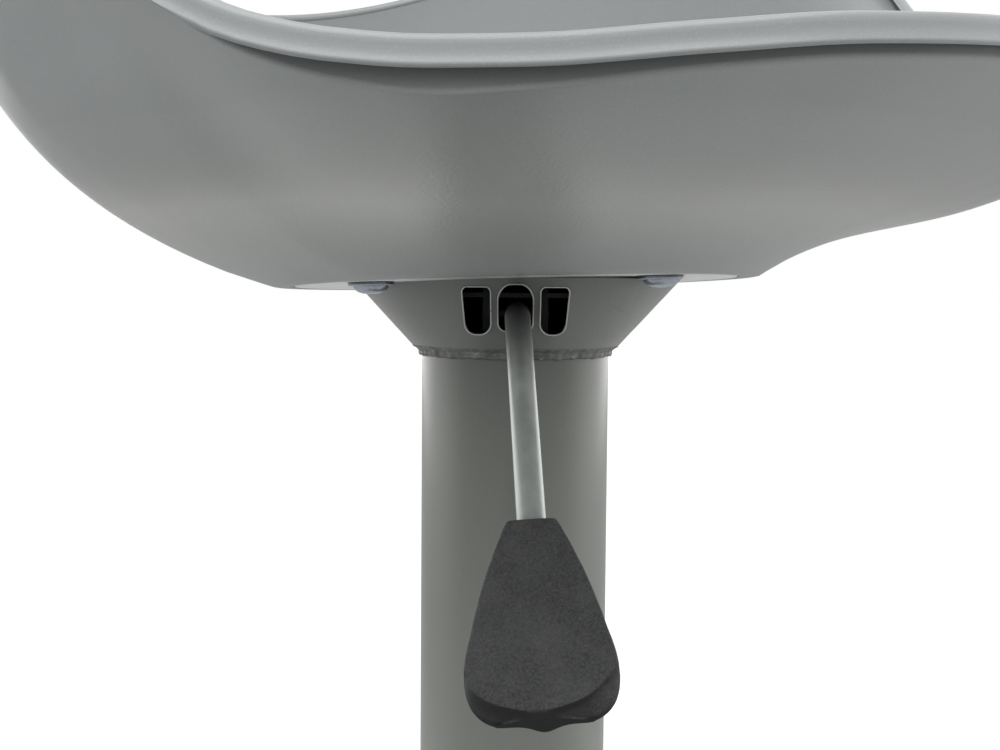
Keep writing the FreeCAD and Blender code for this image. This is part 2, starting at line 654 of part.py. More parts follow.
# Blade sections: share of the length, share of the widening from neck to full width,
# height above and depth below the lever axis
PADDLE_STATIONS = [
    (0.0, 0.0, 5.0, 5.0), (0.07, 0.09, 5.1, 4.8), (0.25, 0.42, 4.8, 3.6),
    (0.45, 0.71, 4.3, 2.9), (0.62, 0.90, 3.8, 2.6), (0.77, 1.0, 3.3, 2.5),
    (0.87, 0.98, 3.0, 2.4), (0.94, 0.83, 2.8, 2.4), (0.98, 0.56, 2.6, 2.3),
    (1.0, 0.28, 2.4, 2.1)]
PADDLE_CHAMFER = 1.3


def paddle_section(body, k):
    """Chamfered rectangle across the lever at one station."""
    share, widening, up, down = PADDLE_STATIONS[k]
    sketch = sketch_in(body, "Paddle_section%d" % k, "YZ_Plane")
    station = dim.paddle_start + dim.paddle_len * share
    sketch.AttachmentOffset = at(0, 0, station.number)
    sketch.setExpression("AttachmentOffset.Base.z", station.text)
    half = dim.paddle_neck_w * (0.5 * (1 - widening)) + dim.paddle_w * (0.5 * widening)
    inset = PADDLE_CHAMFER
    polygon(sketch, [
        (-half + inset, -down), (half - inset, -down), (half, inset - down),
        (half, up - inset), (half - inset, up), (-half + inset, up), (-half, up - inset),
        (-half, inset - down)])
    return sketch


def lever_paddle():
    """Lofted blade and a tapering boss along the slope, bored for the lever rod."""
    blade = doc.addObject("PartDesign::Body", "PaddleBlade")
    sections = [paddle_section(blade, k) for k in range(len(PADDLE_STATIONS))]
    loft = blade.newObject("PartDesign::AdditiveLoft", "Paddle_loft")
    loft.Profile = sections[0]
    loft.Sections = sections[1:]
    loft.Ruled = True
    blade.Tip = loft
    blade.Placement = slope_frame
    doc.recompute()
    boss = doc.addObject("Part::Cone", "PaddleBoss")
    boss.setExpression("Radius1", "Dims.paddle_boss_r")
    boss.setExpression("Radius2", "Dims.paddle_boss_r * 0.62")
    boss.setExpression("Height", "Dims.paddle_len + 0.4")
    boss.Placement = slope_frame.multiply(Placement(Vector(num.paddle_start, 0, 0), Z_TO_X))
    bore = rod("PaddleBore", dim.lever_r + FIT, dim.lever_slope_len + 0.05,
               slope_frame.multiply(Placement(Vector(0, 0, 0), Z_TO_X)))
    return cut("PaddleCut", fuse("PaddleFuse", [blade, boss]), bore)


node(lever_paddle(), "lever_paddle")

# ---------------------------------------------------------------- seat shell
# Tables against the angle in degrees from the front (0) to the back (180).
# Rim height, for a front rise of 43 and a back rise 195 higher
DRAWN_RISE, DRAWN_CLIMB = 43.0, 195.0
RIM_HEIGHT = [
    (0, 50.5), (21.5, 48.0), (33, 44.9), (44, 42.5), (50, 42.8), (56, 44.8), (62, 49.7),
    (67.6, 60.0), (77, 86.0), (85, 118.0), (95, 152.0), (110, 190.0), (130, 219.0),
    (150, 232.0), (180, 238.0)]
# Depth of the wall's top below the lip flange
STEP_DEPTH = [(0, 2.2), (30, 2.4), (43, 3.6), (50, 4.6), (56, 3.4), (64, 1.2), (75, 0.4),
              (180, 0.3)]
# Rim radius
RIM_RADIUS = [(0, 192.0), (45, 190.0), (90, 203.0), (135, 201.0), (180, 191.0)]
# Slope of the wall at its top, in degrees from level
WALL_LEAN = [(0, 25.0), (45, 25.0), (69, 36.0), (85, 62.0), (100, 75.0), (130, 80.0),
             (180, 80.0)]
FOOT_SLOPE_DEG = 19.0
WALL_STEPS = 14
SEAT_ANGLES = [7.5 * i for i in range(25)]


def table(knots, x):
    """Smooth, monotone between knots, level at both ends."""
    slopes = [(y1 - y0) / (x1 - x0) for (x0, y0), (x1, y1) in zip(knots, knots[1:])]
    tangents = [0.0]
    for before, after in zip(slopes, slopes[1:]):
        turning = before * after <= 0
        tangents.append(0.0 if turning else 2 * before * after / (before + after))
    tangents.append(0.0)
    i = 0
    while x > knots[i + 1][0] and i < len(slopes) - 1:
        i += 1
    (x0, y0), (x1, y1) = knots[i], knots[i + 1]
    width = x1 - x0
    share = (x - x0) / width
    square, cube = share ** 2, share ** 3
    return ((2 * cube - 3 * square + 1) * y0
            + (cube - 2 * square + share) * width * tangents[i]
            + (-2 * cube + 3 * square) * y1 + (cube - square) * width * tangents[i + 1])


def bezier(poles, share):
    """Point and tangent of a cubic curve with four poles."""
    rest = 1 - share
    point, tangent = [], []
    for a, b, c, d in zip(*poles):
        point.append(rest ** 3 * a + 3 * share * rest ** 2 * b + 3 * share ** 2 * rest * c
                     + share ** 3 * d)
        tangent.append(3 * rest ** 2 * (b - a) + 6 * share * rest * (c - b)
                       + 3 * share ** 2 * (d - c))
    return point, tangent


def swell(x, climb):
    """Upward bulge of the low part of the wall, fading out as the radius and rim grow."""
    rise = 3.3 * (1 - math.exp(-(x - num.seat_foot_r) / 7.0)) * max(0.0, 1 - 4.0 * climb)
    fade = min(1.0, max(0.0, (x - 95.0) / 55.0))
    return rise * (1 - fade * fade * (3 - 2 * fade))


def outer_wall(end_x, end_z, climb, lean):
    """Points up the outer wall from the foot, and the unit normals there."""
    foot_x = num.seat_foot_r
    foot_pull = 52.0 + 46.0 * min(1.0, climb * 1.6)
    top_pull = 38.0 + 92.0 * climb
    poles = [(foot_x, 0.0),
             (foot_x + foot_pull, foot_pull * math.tan(math.radians(FOOT_SLOPE_DEG))),
             (end_x - top_pull * math.cos(lean), end_z - top_pull * math.sin(lean)),
             (end_x, end_z)]
    outer, normals = [], []
    for i in range(WALL_STEPS + 1):
        (x, z), (run, rise) = bezier(poles, i / WALL_STEPS)
        if 0 < i < WALL_STEPS:
            z += swell(x, climb)
        outer.append((x, z))
        length = math.hypot(run, rise)
        normals.append((-rise / length, run / length))
    return outer, normals


def inner_wall(outer, normals, rim_z):
    """The outer wall set in by a thickness that falls from the pad to the wall."""
    pad_t, wall_t = num.seat_pad_t, num.seat_wall_t
    inner = []
    for i, ((x, z), (nx, nz)) in enumerate(zip(outer, normals)):
        thick = wall_t + (pad_t - wall_t) * max(0.0, 1 - i / WALL_STEPS * 4.0) ** 2
        inner.append((x + nx * thick, z + nz * thick))
    inner[0] = (num.seat_foot_r - 9.0, pad_t)
    inner[1] = (inner[1][0] - 1.5, max(inner[1][1], pad_t + 0.6))
    # the top point stays below the rim
    x, z = inner[-1]
    limit = rim_z - 1.6
    if z > limit:
        inner[-1] = (x - (z - limit) * 1.2, limit)
    return inner


def rim_lip(start, end, normal, rim_r, rim_z):
    """Step up from the outer wall, groove, overhanging flange and rounded crown."""
    lip_w, lip_t, crown = num.seat_lip_w, num.seat_lip_t, num.seat_lip_crown
    flange_z = rim_z - lip_t
    crown_x, crown_z = rim_r - 8.6, rim_z + crown
    lip = [
        start, (rim_r - lip_w - 0.1, start[1] + 1.2), (rim_r - lip_w, rim_z - 2.9),
        (rim_r - lip_w + 0.8, rim_z - 2.15), (rim_r - 2.3, rim_z - 2.2),
        (rim_r - 1.5, rim_z - 3.1), (rim_r - 1.3, flange_z + 0.35), (rim_r - 0.7, flange_z),
        (rim_r - 0.12, flange_z + 0.25), (rim_r, flange_z + 0.8), (rim_r - 0.85, rim_z - 2.6),
        (rim_r - 1.5, rim_z - 1.0), (rim_r - 1.9, rim_z + crown * 0.27),
        (rim_r - 2.6, rim_z + crown * 0.77), (rim_r - 4.2, rim_z + crown * 0.98),
        (crown_x, crown_z)]
    # a cubic runs from the crown down into the inner wall
    (end_x, end_z), (nx, nz) = end, normal
    pull = 0.55 * math.hypot(crown_x - end_x, crown_z - end_z)
    poles = [(crown_x, crown_z), (crown_x - pull, crown_z),
             (end_x + nz * pull, end_z - nx * pull), end]
    lip += [tuple(bezier(poles, share)[0]) for share in (0.25, 0.5, 0.75)]
    lip.append(end)
    return lip


def seat_profile(phi):
    """(outer wall, lip, inner wall) as lists of (radius, height) at phi degrees."""
    rise_span = num.seat_back_rise - num.seat_front_rise
    rim_z = (num.seat_front_rise
             + (table(RIM_HEIGHT, phi) - DRAWN_RISE) * rise_span / DRAWN_CLIMB)
    rim_r = table(RIM_RADIUS, phi)
    climb = (rim_z - DRAWN_RISE) / DRAWN_CLIMB
    wall_top_x = rim_r - num.seat_lip_w - 1.0
    wall_top_z = rim_z - num.seat_lip_t - table(STEP_DEPTH, phi)
    lean = math.radians(table(WALL_LEAN, phi))
    outer, normals = outer_wall(wall_top_x, wall_top_z, climb, lean)
    inner = inner_wall(outer, normals, rim_z)
    return outer, rim_lip(outer[-1], inner[-1], normals[-1], rim_r, rim_z), inner


def half_ring(places):
    """Smooth half loop through (radius, height) places, square to the mirror plane."""
    points = []
    for phi, (r, z) in zip(SEAT_ANGLES, places):
        angle = math.radians(phi)
        x = 0.0 if phi in (0.0, 180.0) else r * math.sin(angle)
        points.append(Vector(x, -r * math.cos(angle), z))
    curve = Part.BSplineCurve()
    curve.interpolate(Points=points, Parameters=[math.radians(phi) for phi in SEAT_ANGLES],
                      InitialTangent=Vector(1, 0, 0), FinalTangent=Vector(-1, 0, 0))
    return Part.Wire(curve.toShape())


def flat_face(faces, z):
    """Closes the loop of face edges that lies at height z."""
    rim = [edge for face in faces for edge in face.Edges
           if abs(edge.BoundBox.ZMin - z) < 1e-4 and abs(edge.BoundBox.ZMax - z) < 1e-4]
    return Part.Face(Part.Wire(Part.__sortEdges__(rim)))


def seat_solid():
    """Lofts the +X half of each surface, mirrors it and closes the shell."""
    profiles = [seat_profile(phi) for phi in SEAT_ANGLES]
    mirror = FreeCAD.Matrix()
    mirror.A11 = -1.0
    faces = []
    for part, ruled in enumerate((False, True, False)):
        rings = [half_ring(places) for places in zip(*[prof[part] for prof in profiles])]
        for face in Part.makeLoft(rings, False, ruled).Faces:
            faces += [face, face.transformGeometry(mirror).Faces[0]]
    for z in (0.0, num.seat_pad_t):
        faces.append(flat_face(faces, z))
    shell = Part.makeShell(faces)
    shell.sewShape(1e-3)
    solid = Part.makeSolid(shell)
    # guards against gaps left by sewing and against a shell that faces inward
    if not solid.isValid():
        solid.fix(1e-4, 1e-5, 1e-3)
    if solid.Volume < 0:
        solid.reverse()
    return solid


def crescent():
    """Cutter for the opening between the seat and the back band."""
    start_y, depth = 90.0, 170
    half_w, bow_half_w = 140.0, 146.0
    low_z, low_bow = 110.5, 38.0
    high_z, high_bow = 167.0, 6.0
    tip_x, tip_z = 149.0, 154.0
    xs = [-half_w + 2 * half_w * i / 12.0 for i in range(13)]
    points = [Vector(x, start_y, low_z + low_bow * (x / bow_half_w) ** 2) for x in xs]
    points.append(Vector(tip_x, start_y, tip_z))
    points += [Vector(x, start_y, high_z - high_bow * (x / bow_half_w) ** 2)
               for x in reversed(xs)]
    points.append(Vector(-tip_x, start_y, tip_z))
    curve = Part.BSplineCurve()
    curve.interpolate(Points=points, PeriodicFlag=True)
    return Part.Face(Part.Wire(curve.toShape())).extrude(Vector(0, depth, 0))


def seat_shell():
    """The seat with its back opening, plate recess and insert holes."""
    shape = seat_solid().cut(crescent())
    shape = shape.cut(Part.makeCylinder(num.plate_r + 0.15, num.plate_t + FIT, Vector(0, 0, 0)))
    for x, y in screw_at:
        shape = shape.cut(Part.makeCylinder(num.insert_r, num.insert_len - 1.0,
                                            Vector(x, y, num.plate_t - 0.1)))
    feature = doc.addObject("Part::Feature", "SeatShell")
    # unwraps the compound when the cuts leave a single solid
    feature.Shape = shape.Solids[0] if len(shape.Solids) == 1 else shape
    feature.Placement = SEAT
    return feature


node(seat_shell(), "seat_shell")


# ---------------------------------------------------------------- seat screws and inserts
def seat_screw(k, placement):
    """Domed screw with its head under the plate."""
    head_top = -FIT
    head_low = head_top - dim.screw_head_t
    head_r, shank_r = dim.screw_head_r, dim.screw_shank_r
    chamfer_z, tip_z = 9.0, 9.8
    return turned("SeatScrew%d" % k, [
        (0, head_low), (head_r * 0.30, head_low + 0.12), (head_r * 0.58, head_low + 0.62),
        (head_r * 0.80, head_low + 1.5), (head_r * 0.92, head_top - 1.1),
        (head_r, head_top - 0.9), (head_r, head_top), (shank_r, head_top),
        (shank_r, chamfer_z), (shank_r - 0.8, tip_z), (0, tip_z)], placement)


def seat_insert(k, placement):
    return ring("SeatInsert%d" % k, dim.insert_r - FIT, dim.screw_shank_r + 0.05,
                dim.plate_t + 0.05, dim.plate_t + dim.insert_len - 1.2, placement)


screw_frames = [SEAT.multiply(at(x, y, 0)) for x, y in screw_at]
node(group("SeatScrews", [seat_screw(k, f) for k, f in enumerate(screw_frames)]),
     "seat_screws")
node(group("SeatInserts", [seat_insert(k, f) for k, f in enumerate(screw_frames)]),
     "seat_inserts")

# ---------------------------------------------------------------- footrest on the sleeve
# (x, y) along the +X half of the hoop, from beside the sleeve to the middle of the front
HOOP_POINTS = [(20, -8), (70, -34), (108, -78), (num.hoop_half_w, -118), (98, -158),
               (52, -178), (0, -num.hoop_reach)]


def footrest_hoop():
    """Round tube swept along a symmetric curve and trimmed to the collar."""
    body = doc.addObject("PartDesign::Body", "Hoop")
    path = sketch_in(body, "Hoop_path", "XY_Plane")
    points = [Vector(x, y, 0) for x, y in HOOP_POINTS]
    points += [Vector(-x, y, 0) for x, y in reversed(HOOP_POINTS[:-1])]
    curve = Part.BSplineCurve()
    curve.interpolate(Points=points)
    path.addGeometry(curve)
    # the section stands square to the start of the curve
    section = sketch_in(body, "Hoop_section", "YZ_Plane")
    tangent = curve.tangent(curve.FirstParameter)[0]
    yaw = math.degrees(math.atan2(tangent.y, tangent.x))
    section.MapMode = "Deactivated"
    section.Placement = Placement(points[0], Rotation(AXIS_Z, yaw).multiply(Z_TO_X))
    centred_circle(section, dim.hoop_tube_r)
    sweep(body, "Hoop_pipe", section, path, ["Edge1"],
          at(0, 0, num.collar_z + num.collar_h / 2))
    overrun = 30.0
    trim = rod("HoopTrim", dim.collar_r + FIT, dim.collar_h + 2 * overrun,
               at(0, 0, num.collar_z - overrun))
    return cut("HoopCut", body, trim)


node(footrest_hoop(), "footrest_hoop")

# Two set screws, one above the other, enter the collar at +Y and stand proud of it.
SET_SCREW_R = 3.0
SET_SCREW_HEIGHTS = (8.0, 24.0)  # above the foot of the collar
SET_SCREW_PROUD = 2.0


def set_screw_frames(y):
    return [Placement(Vector(0, y, num.collar_z + z), Z_TO_Y) for z in SET_SCREW_HEIGHTS]


collar = ring("CollarRing", dim.collar_r, dim.sleeve_r + 0.03, dim.collar_z,
              dim.collar_z + dim.collar_h)
collar.Label = "CollarBlank"
node(drilled("CollarCut", collar, "SetHole", SET_SCREW_R + 0.03, 30.0,
             set_screw_frames(num.sleeve_r - 5.0)), "footrest_collar")
set_screw_len = dim.collar_r - dim.sleeve_r - 0.06 + SET_SCREW_PROUD
set_screws = [rod("SetScrew%d" % k, SET_SCREW_R, set_screw_len, frame)
              for k, frame in enumerate(set_screw_frames(num.sleeve_r + 0.04))]
node(group("SetScrews", set_screws), "collar_screws")

# ---------------------------------------------------------------- export
doc.recompute()
os.makedirs("parts", exist_ok=True)
bad = []
for obj in doc.Objects:
    if "Invalid" in obj.State or "Error" in obj.State:
        bad.append("%s (%s): %s" % (obj.Label, obj.TypeId, obj.State))
for obj in nodes:
    shape = obj.Shape
    if shape.isNull() or not shape.isValid() or not shape.Solids:
        bad.append("%s: shape not usable" % obj.Label)
        continue
    shape.exportStep("parts/%s.step" % obj.Label)
if bad:
    raise RuntimeError("; ".join(bad))
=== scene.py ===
"""Swivelling gas-lift bar stool: tub seat, release lever, sleeve tube and trumpet base.

The column stands on the Z axis with the floor at z = 0 and the seat front toward -Y; the lever
points to -X -Y. Blender works in metres. Lengths of the stool and the camera's place are in mm
and are turned into metres with MM; the studio and the shader distances are in metres.
"""
import json
import math
from functools import cached_property

import bmesh
import bpy
from mathutils import Matrix, Quaternion, Vector


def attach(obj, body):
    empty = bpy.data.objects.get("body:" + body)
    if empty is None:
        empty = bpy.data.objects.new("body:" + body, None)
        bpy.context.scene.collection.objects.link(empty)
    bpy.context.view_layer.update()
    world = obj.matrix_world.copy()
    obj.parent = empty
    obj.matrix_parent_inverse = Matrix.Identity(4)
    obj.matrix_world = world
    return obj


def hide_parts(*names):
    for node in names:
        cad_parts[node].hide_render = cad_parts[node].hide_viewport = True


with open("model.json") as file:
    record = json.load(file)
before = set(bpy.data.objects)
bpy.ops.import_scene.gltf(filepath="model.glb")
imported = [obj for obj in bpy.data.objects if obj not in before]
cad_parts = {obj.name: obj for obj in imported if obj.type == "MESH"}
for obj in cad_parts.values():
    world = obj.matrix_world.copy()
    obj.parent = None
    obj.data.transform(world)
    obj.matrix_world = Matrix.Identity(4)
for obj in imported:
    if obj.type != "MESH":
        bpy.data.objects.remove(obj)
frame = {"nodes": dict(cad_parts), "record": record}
NODE_SLOT = {part["node"]: part["material_slot"] for part in frame["record"]["subparts"]}
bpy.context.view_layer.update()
scene = bpy.context.scene

MM = 0.001
SEAT_Z = 560.0
SEAT_TILT = math.radians(2.5)  # raises the front edge
LEVER_TURN = math.radians(225.0)  # from +X to the lever's direction
SLEEVE_R = 30.0

seat_matrix = Matrix.Translation((0, 0, SEAT_Z * MM)) @ Matrix.Rotation(-SEAT_TILT, 4, "X")
lever_turn = Matrix.Rotation(LEVER_TURN, 4, "Z")


# ------------------------------------------------------------------ node trees
class NodeTree:
    """A short way to write the node tree of a material or a world."""

    def __init__(self, owner):
        owner.use_nodes = True
        self.tree = owner.node_tree
        self.tree.nodes.clear()

    @cached_property
    def coord(self):
        return self.add("ShaderNodeTexCoord").outputs["Object"]

    def add(self, kind, inputs=(), **settings):
        node = self.tree.nodes.new(kind)
        for key, value in settings.items():
            setattr(node, key, value)
        for key, value in dict(inputs).items():
            self.put(node.inputs[key], value)
        return node

    def put(self, socket, value):
        """Links a socket or sets a value; colours are given without alpha."""
        if isinstance(value, bpy.types.NodeSocket):
            self.tree.links.new(value, socket)
        elif socket.type == "RGBA":
            socket.default_value = (*value, 1.0)
        else:
            socket.default_value = value

    def noise(self, scale, detail=4.0, rough=0.55, vector=None, distortion=0.0):
        inputs = {"Scale": scale, "Detail": detail, "Roughness": rough,
                  "Distortion": distortion, "Vector": vector or self.coord}
        return self.add("ShaderNodeTexNoise", inputs).outputs["Fac"]

    def stretched(self, scale):
        inputs = {"Scale": scale, "Vector": self.coord}
        return self.add("ShaderNodeMapping", inputs).outputs[0]

    def ramp(self, value, stops):
        """stops: (position, grey or colour)."""
        node = self.add("ShaderNodeValToRGB", {0: value})
        elements = node.color_ramp.elements
        while len(elements) < len(stops):
            elements.new(0.5)
        for element, (position, color) in zip(elements, stops):
            element.position = position
            element.color = (*((color,) * 3 if isinstance(color, float) else color), 1.0)
        return node.outputs[0]

    def mix(self, share, base, over, blend="MIX"):
        inputs = {0: share, 6: base, 7: over}
        return self.add("ShaderNodeMix", inputs, data_type="RGBA", blend_type=blend).outputs[2]

    def math(self, operation, a, b=0.0, c=None, clamp=False):
        inputs = {0: a, 1: b} if c is None else {0: a, 1: b, 2: c}
        return self.add("ShaderNodeMath", inputs, operation=operation, use_clamp=clamp).outputs[0]

    def plus(self, a, b):
        return self.math("ADD", a, b)

    def times(self, a, b):
        return self.math("MULTIPLY", a, b)

    def span(self, value, over, to=(0.0, 1.0)):
        """Carries the range `over` to the range `to`."""
        inputs = {"Value": value, "From Min": over[0], "From Max": over[1],
                  "To Min": to[0], "To Max": to[1]}
        return self.add("ShaderNodeMapRange", inputs).outputs[0]

    def split(self, vector):
        return self.add("ShaderNodeSeparateXYZ", {0: vector}).outputs


class Surface(NodeTree):
    """A material with one Principled shader."""

    NAMES = {"color": "Base Color", "rough": "Roughness", "metal": "Metallic",
             "normal": "Normal", "coat": "Coat Weight", "coat_rough": "Coat Roughness",
             "spec": "Specular IOR Level"}

    def __init__(self, name):
        self.material = bpy.data.materials.new(name)
        super().__init__(self.material)
        self.shader = self.add("ShaderNodeBsdfPrincipled")
        self.output = self.add("ShaderNodeOutputMaterial", {0: self.shader.outputs[0]})

    def set(self, **values):
        for key, value in values.items():
            self.put(self.shader.inputs[self.NAMES[key]], value)
        return self.material

    def bump(self, height, strength, distance):
        inputs = {"Strength": strength, "Distance": distance, "Height": height}
        return self.add("ShaderNodeBump", inputs).outputs[0]

    def worn(self, base, spread=0.12, scale=6.0):
        """Base colour with broad, faint variation."""
        broad = self.noise(scale, detail=3.0, rough=0.5)
        return self.ramp(broad, [(0.3, shade(base, 1 - spread)), (0.7, shade(base, 1 + spread))])

    def scratches(self, scale=40.0, stretch=(1.0, 1.0, 0.06)):
        """0..1, mostly 0, thin streaks."""
        streaks = self.noise(scale, detail=6.0, rough=0.7, vector=self.stretched(stretch),
                             distortion=0.4)
        return self.span(streaks, over=(0.60, 0.72))

    def flecks(self, scale, size, patch_scale, patch_rough, patch, strength):
        """Small dots that show only in patches; patch is the noise range they fade in over."""
        distance = self.add("ShaderNodeTexVoronoi", {"Scale": scale, "Vector": self.coord},
                            feature="F1").outputs["Distance"]
        dots = self.span(distance, over=(0.0, size), to=(1.0, 0.0))
        patches = self.noise(patch_scale, detail=2.0, rough=patch_rough)
        return self.times(dots, self.span(patches, over=patch, to=(0.0, strength)))

    def painted_corner_shade(self, color, dark, reach, power):
        """Painted shade: darkens the colour in tight corners, found by ambient occlusion."""
        node = self.add("ShaderNodeAmbientOcclusion", {"Distance": reach}, samples=6)
        return self.mix(self.math("POWER", node.outputs["AO"], power), dark, color)


def shade(color, factor):
    return [min(1.0, c * factor) for c in color]


# ------------------------------------------------------------------ materials
def seat_material():
    """Grey moulding, more matt on the lower walls and smoother above, with painted light: the
    lower walls painted paler, as if lit from below, and the walls above a little darker and
    cooler.
    """
    base = (0.265, 0.272, 0.267)
    mat = Surface("seat_grey")
    fleck = mat.flecks(scale=2600.0, size=0.55, patch_scale=1500.0, patch_rough=0.6,
                       patch=(0.52, 0.66), strength=0.45)
    color = mat.mix(mat.times(fleck, 0.6), mat.worn(base, spread=0.05, scale=5.0),
                    (0.62, 0.63, 0.62))
    grain = mat.noise(scale=900.0, rough=0.6)
    dust = mat.scratches(scale=30.0, stretch=(1.0, 0.15, 1.0))
    color = mat.mix(mat.times(dust, 0.06), color, (0.5, 0.5, 0.48))

    # low: 1 on the lower walls, by height and by distance from the axis, in metres
    x, y, z = mat.split(mat.coord)
    level = mat.plus(z, mat.times(mat.noise(scale=9.0, detail=2.0), 0.006))
    radius = mat.math("SQRT", mat.plus(mat.math("POWER", x, 2.0), mat.math("POWER", y, 2.0)))
    low = mat.times(mat.span(level, over=(0.580, 0.604), to=(1.0, 0.0)),
                    mat.span(radius, over=(0.075, 0.125)))
    # painted light: the lower walls made paler, as if lit from below; the walls above darker and
    # cooler
    painted_light_tint = mat.mix(low, (0.93, 0.945, 0.965), (1.66, 1.64, 1.58))
    color = mat.mix(1.0, color, painted_light_tint, "MULTIPLY")

    # painted shade: a soft dark band along the crease between the lower and the upper wall
    crease_shade_z, crease_shade_reach = 0.5930, 0.010
    away = mat.math("ABSOLUTE", mat.math("SUBTRACT", level, crease_shade_z))
    crease_shade = mat.math("SUBTRACT", 1.0, mat.math("DIVIDE", away, crease_shade_reach), clamp=True)
    # levelled off at 0.7 with a smoothing of 0.4
    crease_shade = mat.times(mat.math("SMOOTH_MIN", crease_shade, 0.7, 0.4),
                     mat.span(radius, over=(0.10, 0.19), to=(1.0, 0.25)))
    color = mat.mix(mat.times(crease_shade, 0.50), color, shade((0.265, 0.260, 0.262), 0.35))

    # painted shade: darker in tight corners, such as under the lip
    color = mat.painted_corner_shade(color, shade(base, 0.10), reach=0.014, power=2.2)
    rough = mat.span(mat.noise(scale=14.0, detail=3.0), over=(0.3, 0.7), to=(0.29, 0.37))
    strength = mat.span(low, over=(0.0, 1.0), to=(0.16, 0.5))
    return mat.set(color=color, rough=mat.plus(rough, mat.times(dust, 0.08)), metal=0.25,
                   normal=mat.bump(grain, strength, distance=0.0003), spec=1.0)


def coat_material(name, base=(0.200, 0.208, 0.190), reach=0.05, power=1.3, wear=0.5):
    """Glossy paint with fine grains, streaks of wear and painted shade in the corners."""
    mat = Surface(name)
    grains = mat.span(mat.noise(scale=1800.0, detail=2.0, rough=0.5), over=(0.5, 0.75))
    color = mat.mix(mat.times(grains, 0.15), mat.worn(base, spread=0.07, scale=9.0),
                    (0.30, 0.31, 0.29))
    streak = mat.scratches(scale=55.0, stretch=(1.0, 1.0, 0.05))
    color = mat.mix(mat.times(streak, 0.10 * wear), color, (0.34, 0.34, 0.32))
    # painted shade: darker in corners
    color = mat.painted_corner_shade(color, shade(base, 0.12), reach, power)
    wave = mat.noise(scale=38.0, detail=2.0, rough=0.4, vector=mat.stretched((1.0, 1.0, 0.12)))
    rough = mat.plus(mat.span(wave, over=(0.3, 0.7), to=(0.26, 0.36)),
                     mat.times(streak, 0.12 * wear))
    peel = mat.noise(scale=160.0, detail=2.0, rough=0.5)
    return mat.set(color=color, rough=rough, metal=0.35,
                   normal=mat.bump(peel, strength=0.035, distance=0.0004),
                   spec=0.6, coat=0.25, coat_rough=0.18)


def metal_material(name, base, rough, scale, bump, spots, stretch_z=1.0, metal=1.0):
    """Bare metal with brushed lines, stains and painted shade in the corners."""
    mat = Surface(name)
    line = mat.noise(scale, detail=6.0, rough=0.65, vector=mat.stretched((1.0, 1.0, stretch_z)))
    color = mat.mix(mat.span(line, over=(0.3, 0.7)), shade(base, 0.88), shade(base, 1.08))
    stain = mat.span(mat.noise(scale=45.0, rough=0.6), over=(0.52, 0.70), to=(0.0, spots))
    color = mat.mix(stain, color, shade(base, 0.55))
    # painted shade: darker in corners
    color = mat.painted_corner_shade(color, shade(base, 0.12), reach=0.006, power=1.6)
    brushed = mat.span(line, over=(0.2, 0.8), to=(rough * 0.8, rough * 1.25))
    return mat.set(color=color, rough=mat.plus(brushed, mat.times(mat.scratches(), 0.10)),
                   metal=metal, normal=mat.bump(line, bump, distance=0.0002))


def plastic_material(name, base, rough, grain, bump, scuff=0.0):
    mat = Surface(name)
    color = mat.worn(base, spread=0.15, scale=12.0)
    if scuff:
        lines = mat.scratches(scale=26.0, stretch=(1.0, 0.2, 1.0))
        color = mat.mix(mat.times(lines, scuff), color, (0.22, 0.22, 0.22))
    broad = mat.noise(scale=20.0, detail=3.0)
    height = mat.noise(grain, detail=3.0, rough=0.6)
    return mat.set(color=color, spec=0.5,
                   rough=mat.span(broad, over=(0.3, 0.7), to=(rough * 0.9, rough * 1.12)),
                   normal=mat.bump(height, bump, distance=0.0002))


def paddle_material():
    """Moulded black plastic: fine matt texture, lighter and speckled on faces that point up,
    plainer and near black on faces that point down.
    """
    mat = Surface("paddle_black")
    normal = mat.add("ShaderNodeNewGeometry").outputs["Normal"]
    # faces that point up take the lighter, speckled colour; faces that point down are near black
    top = mat.span(mat.split(normal)["Z"], over=(-0.15, 0.55))
    grit = mat.noise(scale=1300.0, rough=0.8)
    fine = mat.noise(scale=2600.0, detail=3.0, rough=0.7)
    patch = mat.noise(scale=90.0, rough=0.65)
    upward_face_color = mat.mix(mat.span(grit, over=(0.36, 0.64)),
                    (0.020, 0.020, 0.021), (0.056, 0.056, 0.057))
    upward_face_color = mat.mix(mat.span(patch, over=(0.45, 0.72), to=(0.0, 0.35)), upward_face_color,
                    (0.085, 0.085, 0.086))
    upward_face_color = mat.mix(mat.span(fine, over=(0.60, 0.74), to=(0.0, 0.45)), upward_face_color,
                    (0.16, 0.16, 0.16))
    color = mat.mix(top, (0.010, 0.010, 0.0105), upward_face_color)
    line = mat.times(mat.scratches(scale=26.0, stretch=(1.0, 0.2, 1.0)), 0.10)
    color = mat.mix(line, color, (0.22, 0.22, 0.22))
    height = mat.plus(grit, mat.times(fine, 0.5))
    return mat.set(color=color, rough=0.66, spec=0.4,
                   normal=mat.bump(height, strength=0.75, distance=0.00025))


def shaded_inside_material():
    """Steel painted near black for the parts inside the cone, as painted shade."""
    mat = Surface("raw_steel_shaded_inside")
    color = mat.worn((0.030, 0.031, 0.030), spread=0.3, scale=40.0)
    return mat.set(color=color, rough=0.5, metal=0.4, spec=0.4)


def lever_material():
    """Drawn steel, with painted shade where it enters the cone."""
    mat = Surface("lever_steel")
    line = mat.noise(scale=220.0, rough=0.6, vector=mat.stretched((1.0, 1.0, 0.15)))
    color = mat.mix(mat.span(line, over=(0.3, 0.7)), (0.34, 0.36, 0.34), (0.42, 0.44, 0.42))
    # painted shade: dark where the bar goes into the cone
    color = mat.painted_corner_shade(color, (0.02, 0.021, 0.02), reach=0.03, power=2.2)
    return mat.set(color=color, rough=mat.span(line, over=(0.2, 0.8), to=(0.30, 0.42)),
                   metal=0.5, normal=mat.bump(line, strength=0.02, distance=0.0002),
                   spec=0.5, coat=0.05, coat_rough=0.12)


